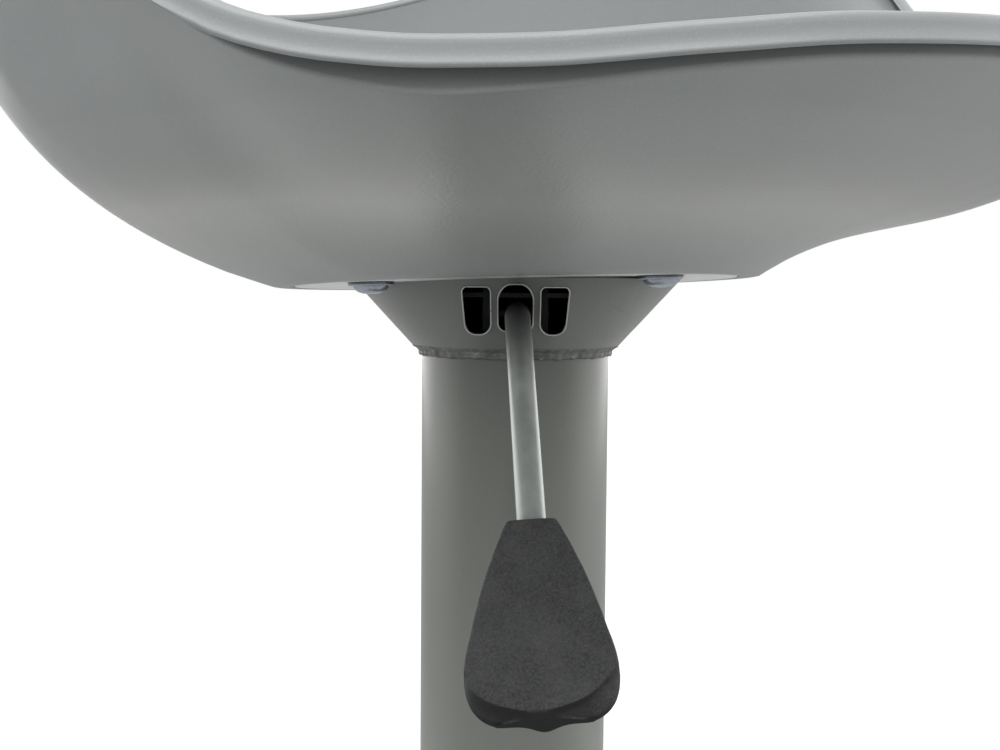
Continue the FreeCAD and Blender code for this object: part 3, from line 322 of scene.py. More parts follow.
def weld_material():
    mat = Surface("weld")
    grain = mat.noise(scale=700.0, rough=0.7)
    bright = mat.flecks(scale=520.0, size=0.4, patch_scale=300.0, patch_rough=0.55,
                        patch=(0.50, 0.62), strength=0.8)
    dull = mat.worn((0.13, 0.135, 0.125), spread=0.35, scale=160.0)
    return mat.set(color=mat.mix(bright, dull, (0.42, 0.42, 0.40)),
                   rough=mat.span(grain, over=(0.3, 0.7), to=(0.25, 0.5)), metal=0.5,
                   normal=mat.bump(grain, strength=0.55, distance=0.0006), spec=0.6)


MATERIALS = {
    "seat_grey": seat_material(),
    "column_paint": coat_material("column_paint"),
    "plate_zinc": metal_material("plate_zinc", (0.96, 0.97, 0.96), rough=0.40, scale=90.0,
                                 bump=0.03, spots=0.12),
    "weld": weld_material(),
    # painted shade: a darker copy of the column paint, with wider and stronger dark corners, for
    # the cone under the seat
    "cone": coat_material("column_paint_shaded_cone", (0.165, 0.172, 0.160), reach=0.11, power=2.3),
    "base": coat_material("column_paint_base", reach=0.04, power=1.2, wear=0.0),
    "zinc": metal_material("zinc", (0.46, 0.50, 0.56), rough=0.27, scale=260.0,
                           bump=0.05, spots=0.25),
    "lever_steel": lever_material(),
    "paddle_black": paddle_material(),
    # painted shade: near-black steel for the parts inside the cone
    "inside": shaded_inside_material(),
    # painted highlight: a light metal colour on the rounded edges of the cone's openings
    "edge_highlight": metal_material("column_paint_edge_highlight", (0.50, 0.51, 0.50), rough=0.30,
                                scale=300.0, bump=0.05, spots=0.3, metal=0.6),
    "chrome": metal_material("chrome", (0.75, 0.76, 0.77), rough=0.07, scale=60.0,
                             bump=0.01, spots=0.06),
    "rubber": plastic_material("rubber", (0.022, 0.022, 0.022), rough=0.75, grain=700.0,
                               bump=0.35, scuff=0.25),
    "black_plastic": plastic_material("black_plastic", (0.028, 0.028, 0.030), rough=0.42,
                                      grain=1200.0, bump=0.15, scuff=0.15),
    "white_plastic": plastic_material("white_plastic", (0.66, 0.65, 0.60), rough=0.4,
                                      grain=900.0, bump=0.1),
    "spring_black": coat_material("spring_black", (0.020, 0.020, 0.022)),
    "raw_steel": metal_material("raw_steel", (0.36, 0.36, 0.37), rough=0.42, scale=140.0,
                                bump=0.08, spots=0.4, stretch_z=0.2),
    "bearing_steel": metal_material("bearing_steel", (0.62, 0.62, 0.63), rough=0.16,
                                    scale=200.0, bump=0.02, spots=0.1),
    "brass": metal_material("brass", (0.78, 0.58, 0.26), rough=0.28, scale=160.0,
                            bump=0.05, spots=0.2, stretch_z=0.1),
}


# ------------------------------------------------------------------ mesh helpers
def around(radius, angle, z):
    """Point at an angle from -Y toward +X; lengths in mm."""
    return Vector((radius * math.sin(angle) * MM, -radius * math.cos(angle) * MM, z * MM))


def mesh_object(name, verts, faces, validate=False):
    mesh = bpy.data.meshes.new(name)
    mesh.from_pydata([tuple(v) for v in verts], [], [tuple(f) for f in faces])
    if validate:
        mesh.validate()
    bm = bmesh.new()
    bm.from_mesh(mesh)
    bmesh.ops.recalc_face_normals(bm, faces=bm.faces)
    bm.to_mesh(mesh)
    bm.free()
    ob = bpy.data.objects.new(name, mesh)
    scene.collection.objects.link(ob)
    return ob


def paint(ob, material):
    ob.data.materials.clear()
    ob.data.materials.append(MATERIALS[material])


def finish_piece(ob, body, slot, sharp, material=None):
    """Paints and smooths a piece; edges over `sharp` degrees stay sharp."""
    paint(ob, material or slot)
    ob.data.shade_smooth()
    ob.data.set_sharp_from_angle(angle=math.radians(sharp))
    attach(ob, body)


def new_piece(name, verts, faces, body, slot, sharp, material=None):
    ob = mesh_object(name, verts, faces, validate=True)
    finish_piece(ob, body, slot, sharp, material)
    return ob


def lathe(name, outline, body, slot, segments, sharp, matrix=Matrix.Identity(4), wobble=None,
          material=None):
    """Turned mesh from a closed (radius, height) outline in mm. Radius 0 makes a pole."""
    verts, rows = [], []
    for radius, height in outline:
        if radius < 1e-6:
            rows.append([len(verts)])
            verts.append(matrix @ Vector((0, 0, height * MM)))
            continue
        row = []
        for k in range(segments):
            a = 2 * math.pi * k / segments
            r, z = wobble(a, radius, height) if wobble else (radius, height)
            row.append(len(verts))
            verts.append(matrix @ Vector((r * math.cos(a) * MM, r * math.sin(a) * MM, z * MM)))
        rows.append(row)
    faces = []
    for i, row in enumerate(rows):
        after = rows[(i + 1) % len(rows)]
        if len(row) == 1 and len(after) == 1:
            continue
        for k in range(segments):
            k2 = (k + 1) % segments
            if len(row) == 1:
                faces.append((row[0], after[k2], after[k]))
            elif len(after) == 1:
                faces.append((row[k], row[k2], after[0]))
            else:
                faces.append((row[k], row[k2], after[k2], after[k]))
    return new_piece(name, verts, faces, body, slot, sharp, material)


def ring_faces(count, size, closed=False):
    """Quads between successive rings of `size` vertices."""
    faces = []
    for i in range(count if closed else count - 1):
        a, b = i * size, (i + 1) % count * size
        for k in range(size):
            k2 = (k + 1) % size
            faces.append((a + k, a + k2, b + k2, b + k))
    return faces


def sweep(name, path, radius, body, slot, segments, closed=False, end_radius=None, material=None):
    """Round bar along a path of Vectors in metres, radii in mm. An open bar has flat caps."""
    count = len(path)
    last = count - 1
    tangents = []
    for i in range(count):
        ahead = path[(i + 1) % count if closed else min(i + 1, last)]
        behind = path[(i - 1) % count if closed else max(i - 1, 0)]
        tangents.append((ahead - behind).normalized())
    up = Vector((0, 0, 1)) if abs(tangents[0].z) < 0.9 else Vector((1, 0, 0))
    across = (up - tangents[0] * up.dot(tangents[0])).normalized()
    verts = []
    for i, (point, tangent) in enumerate(zip(path, tangents)):
        across = (across - tangent * across.dot(tangent)).normalized()
        other = tangent.cross(across)
        r = (end_radius if end_radius and i in (0, last) else radius) * MM
        for k in range(segments):
            a = 2 * math.pi * k / segments
            verts.append(point + across * (r * math.cos(a)) + other * (r * math.sin(a)))
    faces = ring_faces(count, segments, closed)
    if not closed:
        faces.append(reversed(range(segments)))
        faces.append(range(last * segments, count * segments))
    return new_piece(name, verts, faces, body, slot, 40.0, material)


def rounded(outline, radii, steps):
    """Rounds every corner of a closed outline."""
    points = []
    for i, radius in enumerate(radii):
        corner = Vector(outline[i])
        before = (Vector(outline[i - 1]) - corner).normalized()
        after = (Vector(outline[(i + 1) % len(outline)]) - corner).normalized()
        half = before.angle(after) / 2
        reach = radius / math.tan(half)
        centre = corner + (before + after).normalized() * (radius / math.sin(half))
        start = corner + before * reach - centre
        end = corner + after * reach - centre
        turn = start.angle(end)
        if start.x * end.y - start.y * end.x <= 0:
            turn = -turn
        for k in range(steps + 1):
            a = turn * k / steps
            points.append((centre.x + start.x * math.cos(a) - start.y * math.sin(a),
                           centre.y + start.x * math.sin(a) + start.y * math.cos(a)))
    return points


def smooth_curve(points, steps, closed=False):
    """Catmull-Rom curve through 2-D points."""
    count = len(points)
    curve = []
    for i in range(count if closed else count - 1):
        spots = [i - 1, i, i + 1, i + 2]
        p0, p1, p2, p3 = (points[j % count if closed else min(max(j, 0), count - 1)]
                          for j in spots)
        for k in range(steps):
            t = k / steps
            curve.append(tuple(
                0.5 * (2 * p1[c] + (p2[c] - p0[c]) * t
                       + (2 * p0[c] - 5 * p1[c] + 4 * p2[c] - p3[c]) * t * t
                       + (3 * p1[c] - p0[c] - 3 * p2[c] + p3[c]) * t ** 3) for c in (0, 1)))
    return curve if closed else curve + [points[-1]]


def bezier(p0, p1, p2, p3, u):
    weights = ((1 - u) ** 3, 3 * u * (1 - u) ** 2, 3 * u * u * (1 - u), u ** 3)
    return tuple(weights[0] * p0[c] + weights[1] * p1[c] + weights[2] * p2[c]
                 + weights[3] * p3[c] for c in (0, 1))


def table(knots, x):
    """Monotone cubic through (x, value) knots."""
    count = len(knots)
    rise = [(b[1] - a[1]) / (b[0] - a[0]) for a, b in zip(knots, knots[1:])]
    slope = [0.0]
    for a, b in zip(rise, rise[1:]):
        slope.append(0.0 if a * b <= 0 else 2 * a * b / (a + b))
    slope.append(0.0)
    i = next(i for i in range(count - 1) if x <= knots[i + 1][0] or i == count - 2)
    width = knots[i + 1][0] - knots[i][0]
    s = (x - knots[i][0]) / width
    return ((2 * s ** 3 - 3 * s ** 2 + 1) * knots[i][1]
            + (s ** 3 - 2 * s ** 2 + s) * width * slope[i]
            + (-2 * s ** 3 + 3 * s ** 2) * knots[i + 1][1]
            + (s ** 3 - s ** 2) * width * slope[i + 1])


# ------------------------------------------------------------------ seat
# Each table starts with degrees from the front (-Y); both sides of the seat are alike.
RIM_HEIGHTS = [(0, 50.5), (21.5, 48.0), (33, 44.9), (44, 42.5), (50, 42.8), (56, 44.8),
               (62, 49.7), (67.6, 60.0), (77, 86.0), (85, 118.0), (95, 152.0), (110, 190.0),
               (130, 219.0), (150, 232.0), (180, 238.0)]
RIM_RADII = [(0, 192.0), (45, 190.0), (90, 203.0), (135, 201.0), (180, 191.0)]
# slope of the wall at the rim, degrees above level
RIM_SLOPES = [(0, 25.0), (45, 25.0), (69, 36.0), (85, 62.0), (100, 75.0), (130, 80.0),
              (180, 80.0)]
# extra drop of the wall's top below the lip
STEPS = [(0, 2.2), (30, 2.4), (43, 3.6), (50, 4.6), (56, 3.4), (64, 1.2), (75, 0.4), (180, 0.3)]
LOW_RIM, RIM_RISE = 43.0, 195.0  # the rim height where the wall's fullness is 0, and its range
FOOT_R, FOOT_SLOPE = 78.0, math.radians(19.0)
WALL_T, PAD_T = 4.6, 12.0  # wall thickness and floor thickness
GROOVE, LIP_T = 5.6, 4.6  # groove's distance inside the rim, and depth of the lip
WALL_STEPS = 40
SEAT_COLUMNS = 216
RECESS_R, RECESS_Z = 71.2, 2.62  # shallow round recess in the underside

# lip section: (out from the rim radius, up from the rim height), outside to inside
LIP = [(-GROOVE, -3.1), (-GROOVE + 0.2, -2.5), (-GROOVE + 0.8, -2.15), (-2.5, -2.2),
       (-1.7, -2.7), (-1.45, -3.5), (-1.35, -4.2), (-1.0, -4.55), (-0.5, -LIP_T),
       (-0.12, -4.35), (0.0, -3.9), (-0.35, -3.3), (-0.85, -2.55), (-1.25, -1.7),
       (-1.55, -0.8), (-1.75, 0.2), (-2.0, 1.2), (-2.45, 2.0), (-3.3, 2.65), (-4.6, 2.95),
       (-6.4, 3.05), (-8.6, 3.0)]
LIP_END = (-10.2, 2.8)


def wall(phi):
    """Outer wall as (radius, z, normal r, normal z) at phi degrees, with rim radius and height.

    The normals point through the wall to the inside of the tub.
    """
    rim_z, rim_r = table(RIM_HEIGHTS, phi), table(RIM_RADII, phi)
    slope = math.radians(table(RIM_SLOPES, phi))
    full = (rim_z - LOW_RIM) / RIM_RISE  # about 0 at the low front, 1 at the back
    reach = 52.0 + 46.0 * min(1.0, full * 1.6)
    pull = 38.0 + 92.0 * full
    p0 = (FOOT_R, 0.0)
    p3 = (rim_r - GROOVE - 1.0, rim_z - LIP_T - table(STEPS, phi))
    p1 = (p0[0] + reach, reach * math.tan(FOOT_SLOPE))
    p2 = (p3[0] - pull * math.cos(slope), p3[1] - pull * math.sin(slope))
    points = []
    for i in range(WALL_STEPS + 1):
        u = i / WALL_STEPS
        r, z = bezier(p0, p1, p2, p3, u)
        tr, tz = (3 * (1 - u) ** 2 * (p1[c] - p0[c]) + 6 * u * (1 - u) * (p2[c] - p1[c])
                  + 3 * u * u * (p3[c] - p2[c]) for c in (0, 1))
        size = math.hypot(tr, tz)
        if 0 < i < WALL_STEPS:
            # where the rim is low, the wall is lifted near the foot; fades out from r = 95
            swell = 3.3 * (1 - math.exp(-(r - FOOT_R) / 7.0)) * max(0.0, 1 - 4.0 * full)
            fade = min(1.0, max(0.0, (r - 95.0) / 55.0))
            z += swell * (1 - fade * fade * (3 - 2 * fade))
        points.append((r, z, -tz / size, tr / size))
    return points, rim_r, rim_z


def seat_outline(phi):
    """Section from the underside's recess out over the lip and back to the inner floor, mm."""
    points, rim_r, rim_z = wall(phi)
    outline = [(RECESS_R, RECESS_Z), (RECESS_R, 0.5), (71.5, 0.1), (72.0, 0.0),
               (FOOT_R - 1.6, 0.0), (FOOT_R - 0.5, 0.2),
               (points[1][0] * 0.5 + FOOT_R * 0.5 - 0.2, points[1][1] * 0.5 + 0.2)]
    outline += [(r, z) for r, z, _, _ in points[2:-1]]

    # a short step up from the wall, a groove, and a flange that hangs over it
    r, z, nr, nz = points[-1]
    tr, tz = nz, -nr
    outline += [(r - tr * 0.8, z - tz * 0.8), (r + 0.15, z + 0.05),
                (rim_r - GROOVE - 0.3, z + 0.6), (rim_r - GROOVE - 0.05, z + 1.4)]
    outline += [(rim_r + out, rim_z + up) for out, up in LIP]

    # blend from the lip's top into the inner wall
    end_r, end_z = r + nr * WALL_T, z + nz * WALL_T
    blend_top = rim_z - 1.6
    if end_z > blend_top:
        end_r, end_z = end_r - (end_z - blend_top) * 1.2, blend_top
    start_r, start_z = rim_r + LIP_END[0], rim_z + LIP_END[1]
    pull = 0.55 * math.hypot(start_r - end_r, start_z - end_z)
    outline += [bezier((start_r, start_z), (start_r - pull, start_z),
                       (end_r + tr * pull, end_z + tz * pull), (end_r, end_z), k / 7.0)
                for k in range(1, 7)]

    # inner wall, thickening toward the floor
    for i in range(WALL_STEPS - 1, 1, -1):
        r, z, nr, nz = points[i]
        u = i / WALL_STEPS
        thick = WALL_T + (PAD_T - WALL_T) * max(0.0, 1 - u * 4.0) ** 2
        inner_z = z + nz * thick
        if inner_z < PAD_T + 0.3 and u < 0.3:
            inner_z = PAD_T + 0.3 * u
        outline.append((r + nr * thick, inner_z))
    outline.append((FOOT_R - 12.0, PAD_T))
    return outline


def tub():
    """The uncut tub in the seat's own frame."""
    verts, faces = [], []
    for column in range(SEAT_COLUMNS):
        degrees = 360.0 * column / SEAT_COLUMNS
        outline = seat_outline(degrees if degrees <= 180 else 360 - degrees)
        verts += [around(r, math.radians(degrees), z) for r, z in outline]
    size = len(outline)
    starts = [(c * size, (c + 1) % SEAT_COLUMNS * size) for c in range(SEAT_COLUMNS)]
    for a, b in starts:
        for i in range(size - 1):
            faces.append((a + i, b + i, b + i + 1, a + i + 1))
    low, high = len(verts), len(verts) + 1
    verts += [Vector((0, 0, RECESS_Z * MM)), Vector((0, 0, PAD_T * MM))]
    for a, b in starts:
        faces.append((low, b, a))
        faces.append((high, a + size - 1, b + size - 1))
    return mesh_object("seat_tub", verts, faces)


def crescent_outline():
    """Closed loop of (x, z) in mm for the opening in the backrest."""
    xs = [-140.0 + 280.0 * i / 12.0 for i in range(13)]
    points = [(x, 110.5 + 38.0 * (x / 146.0) ** 2) for x in xs]
    points.append((149.0, 154.0))
    points += [(-x, 167.0 - 6.0 * (x / 146.0) ** 2) for x in xs]
    points.append((-149.0, 154.0))
    return smooth_curve(points, 5, closed=True)


def wall_radius(phi, z):
    """Radius of the wall's middle surface at height z, in mm."""
    points, _, _ = wall(phi)
    middle = [(r + nr * WALL_T / 2, h + nz * WALL_T / 2) for r, h, nr, nz in points]
    for (r0, z0), (r1, z1) in reversed(list(zip(middle, middle[1:]))):
        if z0 <= z <= z1:
            share = (z - z0) / max(1e-9, z1 - z0)
            return r0 * (1 - share) + r1 * share
    return points[-1][0]


def build_seat(crescent):
    """The tub with a crescent cut through its backrest."""
    seat = tub()
    near_y, far_y = 0.10, 0.26  # metres, either side of the backrest
    verts = [(x * MM, y, z * MM) for y in (near_y, far_y) for x, z in crescent]
    count = len(crescent)
    faces = [range(count), range(2 * count - 1, count - 1, -1)]
    for i in range(count):
        j = (i + 1) % count
        faces.append((i, j, count + j, count + i))
    cutter = mesh_object("cutter", verts, faces)

    cut = seat.modifiers.new("opening", "BOOLEAN")
    cut.operation, cut.solver, cut.object = "DIFFERENCE", "EXACT", cutter
    bpy.context.view_layer.update()
    depsgraph = bpy.context.evaluated_depsgraph_get()
    cut_mesh = bpy.data.meshes.new_from_object(seat.evaluated_get(depsgraph))
    seat.modifiers.clear()
    seat.data = cut_mesh
    seat.data.name = "seat_tub"
    bpy.data.objects.remove(cutter)
    seat.data.transform(seat_matrix)
    finish_piece(seat, "seat_carrier", "seat_grey", sharp=50.0)
    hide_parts("seat_shell")


def build_seat_opening_edge(crescent):
    """Rounded edge that runs round the opening in the backrest."""
    path = []
    for x, z in crescent:
        radius = 190.0
        for _ in range(12):  # the radius depends on the angle, so the two are settled in turns
            phi = 180.0 - math.degrees(math.asin(min(0.99, abs(x) / radius)))
            radius = wall_radius(phi, z)
        angle = math.radians(phi) * (1 if x >= 0 else -1)
        path.append(seat_matrix @ around(radius, angle, z))
    sweep("seat_opening_edge", path, WALL_T / 2 + 0.25, "seat_carrier", "seat_grey",
          segments=16, closed=True)


crescent = crescent_outline()
build_seat(crescent)
build_seat_opening_edge(crescent)

# ------------------------------------------------------------------ lever
# In the lever's frame +X leads out from the column; past the bend the bar slopes down.
LEVER_SIDE, LEVER_Z = 0.6, 550.4
LEVER_ROLL = math.radians(4.4)
DROP = math.radians(40.0)
BEND_X, BEND_R, BEND_STEPS = 43.0, 9.0, 12
BAR_R, BAR_END_R = 3.8, 3.5
LEVEL_STATIONS = (-4.0, -3.7, 4.0, 14.0, 24.0, 34.0, BEND_X - 0.5)  # x before the bend
SLOPE_STATIONS = (0.6, 10.0, 20.0, 30.0, 40.0, 50.0, 60.0, 70.0, 80.0, 90.0, 104.6, 105.0)

lever_matrix = (lever_turn @ Matrix.Translation((0, LEVER_SIDE * MM, LEVER_Z * MM))
                @ Matrix.Rotation(LEVER_ROLL, 4, "X"))


def on_bend(angle):
    """(x, z) on the bend's centre line, mm."""
    return BEND_X + BEND_R * math.sin(angle), -BEND_R * (1 - math.cos(angle))


def along_lever(t, y=0.0, up=0.0):
    """Point t mm down the slope, y mm to the side and up mm off its centre line."""
    x, z = on_bend(DROP)
    return lever_matrix @ Vector(((x + t * math.cos(DROP) + up * math.sin(DROP)) * MM, y * MM,
                                  (z - t * math.sin(DROP) + up * math.cos(DROP)) * MM))


def build_lever_bar():
    level = [(x, 0.0) for x in LEVEL_STATIONS]
    level += [on_bend(DROP * k / BEND_STEPS) for k in range(BEND_STEPS + 1)]
    path = [lever_matrix @ Vector((x * MM, 0, z * MM)) for x, z in level]
    path += [along_lever(t) for t in SLOPE_STATIONS]
    bar = sweep("lever_bar", path, BAR_R, "lever", "lever_steel", segments=64,
                end_radius=BAR_END_R)
    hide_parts("lever_rod")


# Paddle tables start with the distance down the slope, mm.
# full width of the lower edge
WIDTHS = [(79.0, 11.6), (79.5, 12.9), (80.6, 14.2), (84.0, 16.7), (88.0, 19.6), (92.0, 22.2),
          (95.0, 24.2), (98.5, 26.2), (102.0, 28.1), (105.7, 29.9), (109.0, 31.5),
          (112.6, 33.0), (117.0, 35.1), (120.5, 36.3), (123.0, 36.7), (126.0, 36.0),
          (129.0, 34.0), (131.0, 31.2), (132.4, 27.8), (133.2, 24.2), (133.6, 20.8)]
# top face above the centre line
TOPS = [(79.0, 4.4), (79.8, 5.1), (84.0, 5.1), (92.0, 4.9), (105.0, 4.3), (115.0, 3.6),
        (125.0, 3.0), (131.0, 2.6), (133.6, 2.2)]
# bottom face below the centre line
LOWS = [(79.0, 4.6), (80.0, 5.3), (86.0, 4.9), (95.0, 3.9), (108.0, 3.1), (120.0, 2.8),
        (133.6, 2.7)]
# bottom of the middle rib below the centre line
RIB = [(79.0, 4.6), (80.0, 5.3), (100.0, 5.2), (110.0, 5.0), (122.0, 4.7), (133.6, 4.5)]
# half width of the top face at the far end
ARC = [(121.0, 18.8), (124.0, 17.6), (126.2, 16.6), (128.2, 15.0), (129.5, 13.6),
       (130.6, 12.0), (131.6, 9.9), (132.3, 7.6), (132.9, 5.2), (133.4, 2.8), (134.0, 2.4)]
TOP_INSET, ARC_START = 0.25, 121.0
# (distance down the slope, how far the section shrinks at the rounded ends)
SECTIONS = [(79.0, 0.7), (79.15, 0.3), (79.5, 0.0)]
SECTIONS += [(79.9 + 0.9 * k, 0.0) for k in range(46)]
SECTIONS += [(121.3 + 0.5 * k, 0.0) for k in range(23)]
SECTIONS += [(132.6, 0.0), (132.9, 0.0), (133.2, 0.0), (133.5, 0.1), (133.75, 0.4),
             (133.85, 0.8)]


def corner(y, up, radius, start):
    """Quarter turn of seven points."""
    angles = [math.radians(start + 15.0 * k) for k in range(7)]
    return [(y + radius * math.cos(a), up + radius * math.sin(a)) for a in angles]


def side(start, end):
    """Three points between start and end."""
    return [tuple(a + (b - a) * k / 4.0 for a, b in zip(start, end)) for k in range(1, 4)]


def paddle_section(t, shrink):
    """Closed (y, up) section. The top edge rounds off earlier than the lower at the far end."""
    low_half = table(WIDTHS, t) / 2 - shrink
    top, low = table(TOPS, t) - shrink * 0.8, table(LOWS, t) - shrink * 0.8
    top_half = low_half - TOP_INSET
    shift = 0.0  # of the top face toward -y
    if t > ARC_START:
        ease = min(1.0, max(0.0, (t - 124.0) / 4.0))
        shift = -1.3 * min(1.0, (t - ARC_START) / 4.0) * ease
        top_half = min(top_half, table(ARC, t), low_half - TOP_INSET - abs(shift))
    if t > 133.3:
        top -= (t - 133.3) * 1.2
    top_r, low_r = min(0.9, 0.42 * (top + low)), min(0.8, 0.36 * (top + low))
    top_y, top_up = top_half - top_r, top - top_r
    low_y, low_up = low_half - low_r, -low + low_r
    crown = 0.45 * min(1.0, top_y / 14.0)
    rib = max(0.0, table(RIB, t) - low)

    points = corner(top_y + shift, top_up, top_r, 0.0)
    for k in range(1, 24):
        y = top_y * (1 - 2 * k / 24.0)
        points.append((y + shift, top + crown * (1 - (y / max(1.0, top_y)) ** 2)))
    points += corner(-top_y + shift, top_up, top_r, 90.0)
    points += side((-top_half + shift, top_up), (-low_half, low_up))
    points += corner(-low_y, low_up, low_r, 180.0)
    for k in range(1, 24):
        y = -low_y * (1 - 2 * k / 24.0)
        points.append((y, -low - rib * math.exp(-(y / 3.6) ** 2)))
    points += corner(low_y, low_up, low_r, 270.0)
    points += side((low_half, low_up), (top_half + shift, top_up))
    return points


def build_paddle():
    """Soft-edged blade on the end of the lever."""
    verts = []
    for t, shrink in SECTIONS:
        section = paddle_section(t, shrink)
        slant = max(0.0, (t - 124.0) / 9.5)  # the far end leans
        verts += [along_lever(t + slant * (1.5 - 0.12 * up), y, up) for y, up in section]
    size = len(section)
    faces = ring_faces(len(SECTIONS), size)
    faces.append(range(size))
    faces.append(reversed(range(len(verts) - size, len(verts))))
    blade = new_piece("paddle_blade", verts, faces, "lever", "paddle_black", sharp=55.0)
    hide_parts("lever_paddle")


build_lever_bar()
build_paddle()

# ------------------------------------------------------------------ column and base
SLEEVE_BORE_R = 28.5
SLEEVE_LOW, SLEEVE_TOP = 122.0, 543.5
WELD_R = SLEEVE_R + 0.05
# (radius, height) of the weld's section
WELD = [(WELD_R, 536.9), (30.5, 536.75), (30.95, 537.1), (31.15, 537.7), (31.0, 538.1),
        (31.25, 538.6), (31.9, 539.2), (32.9, 539.6), (33.1, 539.95), (WELD_R, 539.95)]
# (radius, height) of the trumpet's upper surface, from the rim up to the column
TRUMPET = [(203.0, 9.6), (188.0, 15.5), (165.0, 21.5), (138.0, 27.0), (110.0, 33.0),
           (86.0, 40.5), (66.0, 50.0), (50.0, 63.0), (38.5, 78.0), (31.5, 90.0), (30.1, 98.0)]
SKIRT_RIM = [(202.75, 6.0), (203.0, 6.25), (203.0, 8.9), (202.85, 9.35)]
SKIRT_INNER_R = 200.5


def build_sleeve():
    outline = [(SLEEVE_BORE_R, SLEEVE_LOW), (SLEEVE_R, SLEEVE_LOW),
               (SLEEVE_R, SLEEVE_TOP), (SLEEVE_BORE_R, SLEEVE_TOP)]
    tube = lathe("sleeve_skin", rounded(outline, (0.3, 0.6, 0.3, 0.3), 4), "seat_carrier",
                 "column_paint", segments=256, sharp=30.0)
    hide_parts("sleeve_tube")


def ripple(a, r, z):
    """Uneven surface of the weld; its top stays level."""
    if r < 30.4:
        return r, z
    wave = (math.sin(a * 61.0 + 0.7 * math.sin(a * 7.0)) * 0.16
            + math.sin(a * 23.0 + 1.3) * 0.14 + math.sin(a * 5.0 + 0.4) * 0.12)
    if z < 539.5:
        z += 0.12 * math.sin(a * 11.0 + 0.8) + 0.10 * math.sin(a * 37.0)
    return r + wave * 0.6, z


def build_weld():
    """Rippled bead that joins the sleeve to the cone."""
    weld = lathe("weld_ripple", WELD, "seat_carrier", "weld", segments=720, sharp=60.0,
                 wobble=ripple)
    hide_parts("weld_bead")


def build_skirt():
    """Trumpet base, spun smooth."""
    under = [(27.6, 98.0)]
    under += [(r - 1.875, z - 2.375) for r, z in TRUMPET[-2:0:-1]]
    under.append((SKIRT_INNER_R, 8.0))
    outline = SKIRT_RIM + smooth_curve(TRUMPET, 6)[1:] + smooth_curve(under, 6)
    outline.append((SKIRT_INNER_R, 6.0))
    skirt = lathe("base_skirt", outline, "base", "column_paint", segments=256, sharp=40.0,
                  material="base")
    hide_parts("base_shell")


build_sleeve()
build_weld()
build_skirt()

# ------------------------------------------------------------------ cone openings and screws
CONE_LOW_R, CONE_TOP_R, CONE_LOW, CONE_H = 33.2, 53.1, 540.0, 21.7
OPENING_PITCH = 11.6
# width, low z, high z, top corner radius, low corner radius, outer edge's inset at the bottom,
# highest z of the edge
MIDDLE_OPENING = (10.4, 545.7, 560.1, 5.0, 2.4, 0.0, 559.8)
SIDE_OPENING = (8.7, 544.5, 559.2, 2.0, 3.4, 1.0, 559.0)
SCREW_CIRCLE_R = 60.3
# (radius, height) from the domed head's tip up to the shank's end
SCREW = [(0, -3.55), (1.2, -3.5), (2.6, -3.3), (3.9, -2.85), (4.8, -2.2), (5.2, -1.5),
         (5.35, -1.15), (6.5, -1.05), (6.85, -0.85), (6.9, -0.5), (6.85, -0.15),
         (6.5, -0.05), (2.9, -0.05), (2.9, 9.0), (2.1, 9.8), (0, 9.8)]


def build_opening_edge(index, place):
    """Rounded edge of an opening in the cone, with a painted highlight; place is -1, 0 or 1
    across the lever.
    """
    width, low, high, top_r, low_r, inset, z_limit = SIDE_OPENING if place else MIDDLE_OPENING
    left = OPENING_PITCH * place - width / 2
    right = OPENING_PITCH * place + width / 2
    low_left = left + (inset if place < 0 else 0.0)
    low_right = right - (inset if place > 0 else 0.0)
    loop = rounded([(low_left, low), (low_right, low), (right, high), (left, high)],
                   (low_r, low_r, top_r, top_r), 8)
    path = []
    for i, (y, z) in enumerate(loop):
        y2, z2 = loop[(i + 1) % len(loop)]
        parts = max(1, int(math.hypot(y2 - y, z2 - z) / 0.8))
        for j in range(parts):
            across = y + (y2 - y) * j / parts
            height = min(z + (z2 - z) * j / parts, z_limit)
            r = CONE_LOW_R + (height - CONE_LOW) * (CONE_TOP_R - CONE_LOW_R) / CONE_H + 0.03
            out = math.sqrt(r * r - across * across)
            path.append(lever_turn @ Vector((out * MM, across * MM, height * MM)))
    # painted highlight along the edge
    sweep("opening_edge_%d" % index, path, 0.24, "seat_carrier", "column_paint", segments=12,
          closed=True, material="edge_highlight")


def build_screws():
    """Four domed flange screws under the seat."""
    for k in range(4):
        centre = around(SCREW_CIRCLE_R, math.radians(90.0 * k), 0)
        screw = lathe("flange_screw_%d" % k, SCREW, "seat_carrier", "zinc", segments=96,
                      sharp=30.0, matrix=seat_matrix @ Matrix.Translation(centre))
        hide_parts("seat_screws")


for index, place in enumerate((-1, 0, 1)):
    build_opening_edge(index, place)
build_screws()

# ------------------------------------------------------------------ remaining frame pieces
OWN_MATERIAL = {"mount_cone": "cone", "lever_bracket": "inside", "pivot_pin": "inside",
                "taper_socket": "inside"}
for name, ob in frame["nodes"].items():
    paint(ob, OWN_MATERIAL.get(name, NODE_SLOT[name]))

# ------------------------------------------------------------------ studio, in metres
FLOOR_HALF, FLOOR_Z = 12.0, -0.0005
FLOOR_GLOW = 0.68
# (0 away from the camera .. 1 toward it, grey)
WORLD_AROUND = [(0.0, 1.0), (0.13, 1.0), (0.28, 0.66), (0.48, 0.46), (0.70, 0.17), (1.0, 0.13)]
# (0 straight down .. 1 straight up, share of the top colour)
WORLD_UP = [(0.55, 0.0), (0.85, 1.0)]
WORLD_TOP = (0.60, 0.61, 0.61)
WORLD_GAIN = 2.0
TO_CAMERA = (-0.70711, -0.70711, 0.0)
# name, place, height aimed at on the axis, width, height, watts, seen in reflections
SOFTBOXES = [("overhead", (-0.1, -0.1, 2.6), 0.5, 1.8, 1.8, 12.0, True),
             ("front", (-1.5, -1.5, 2.0), 0.5, 2.4, 2.0, 22.0, False),
             ("right", (1.34, -0.92, 0.30), 0.6, 1.2, 1.0, 15.0, False),
             ("left", (-0.92, 1.34, 0.30), 0.6, 1.2, 1.0, 9.5, False)]


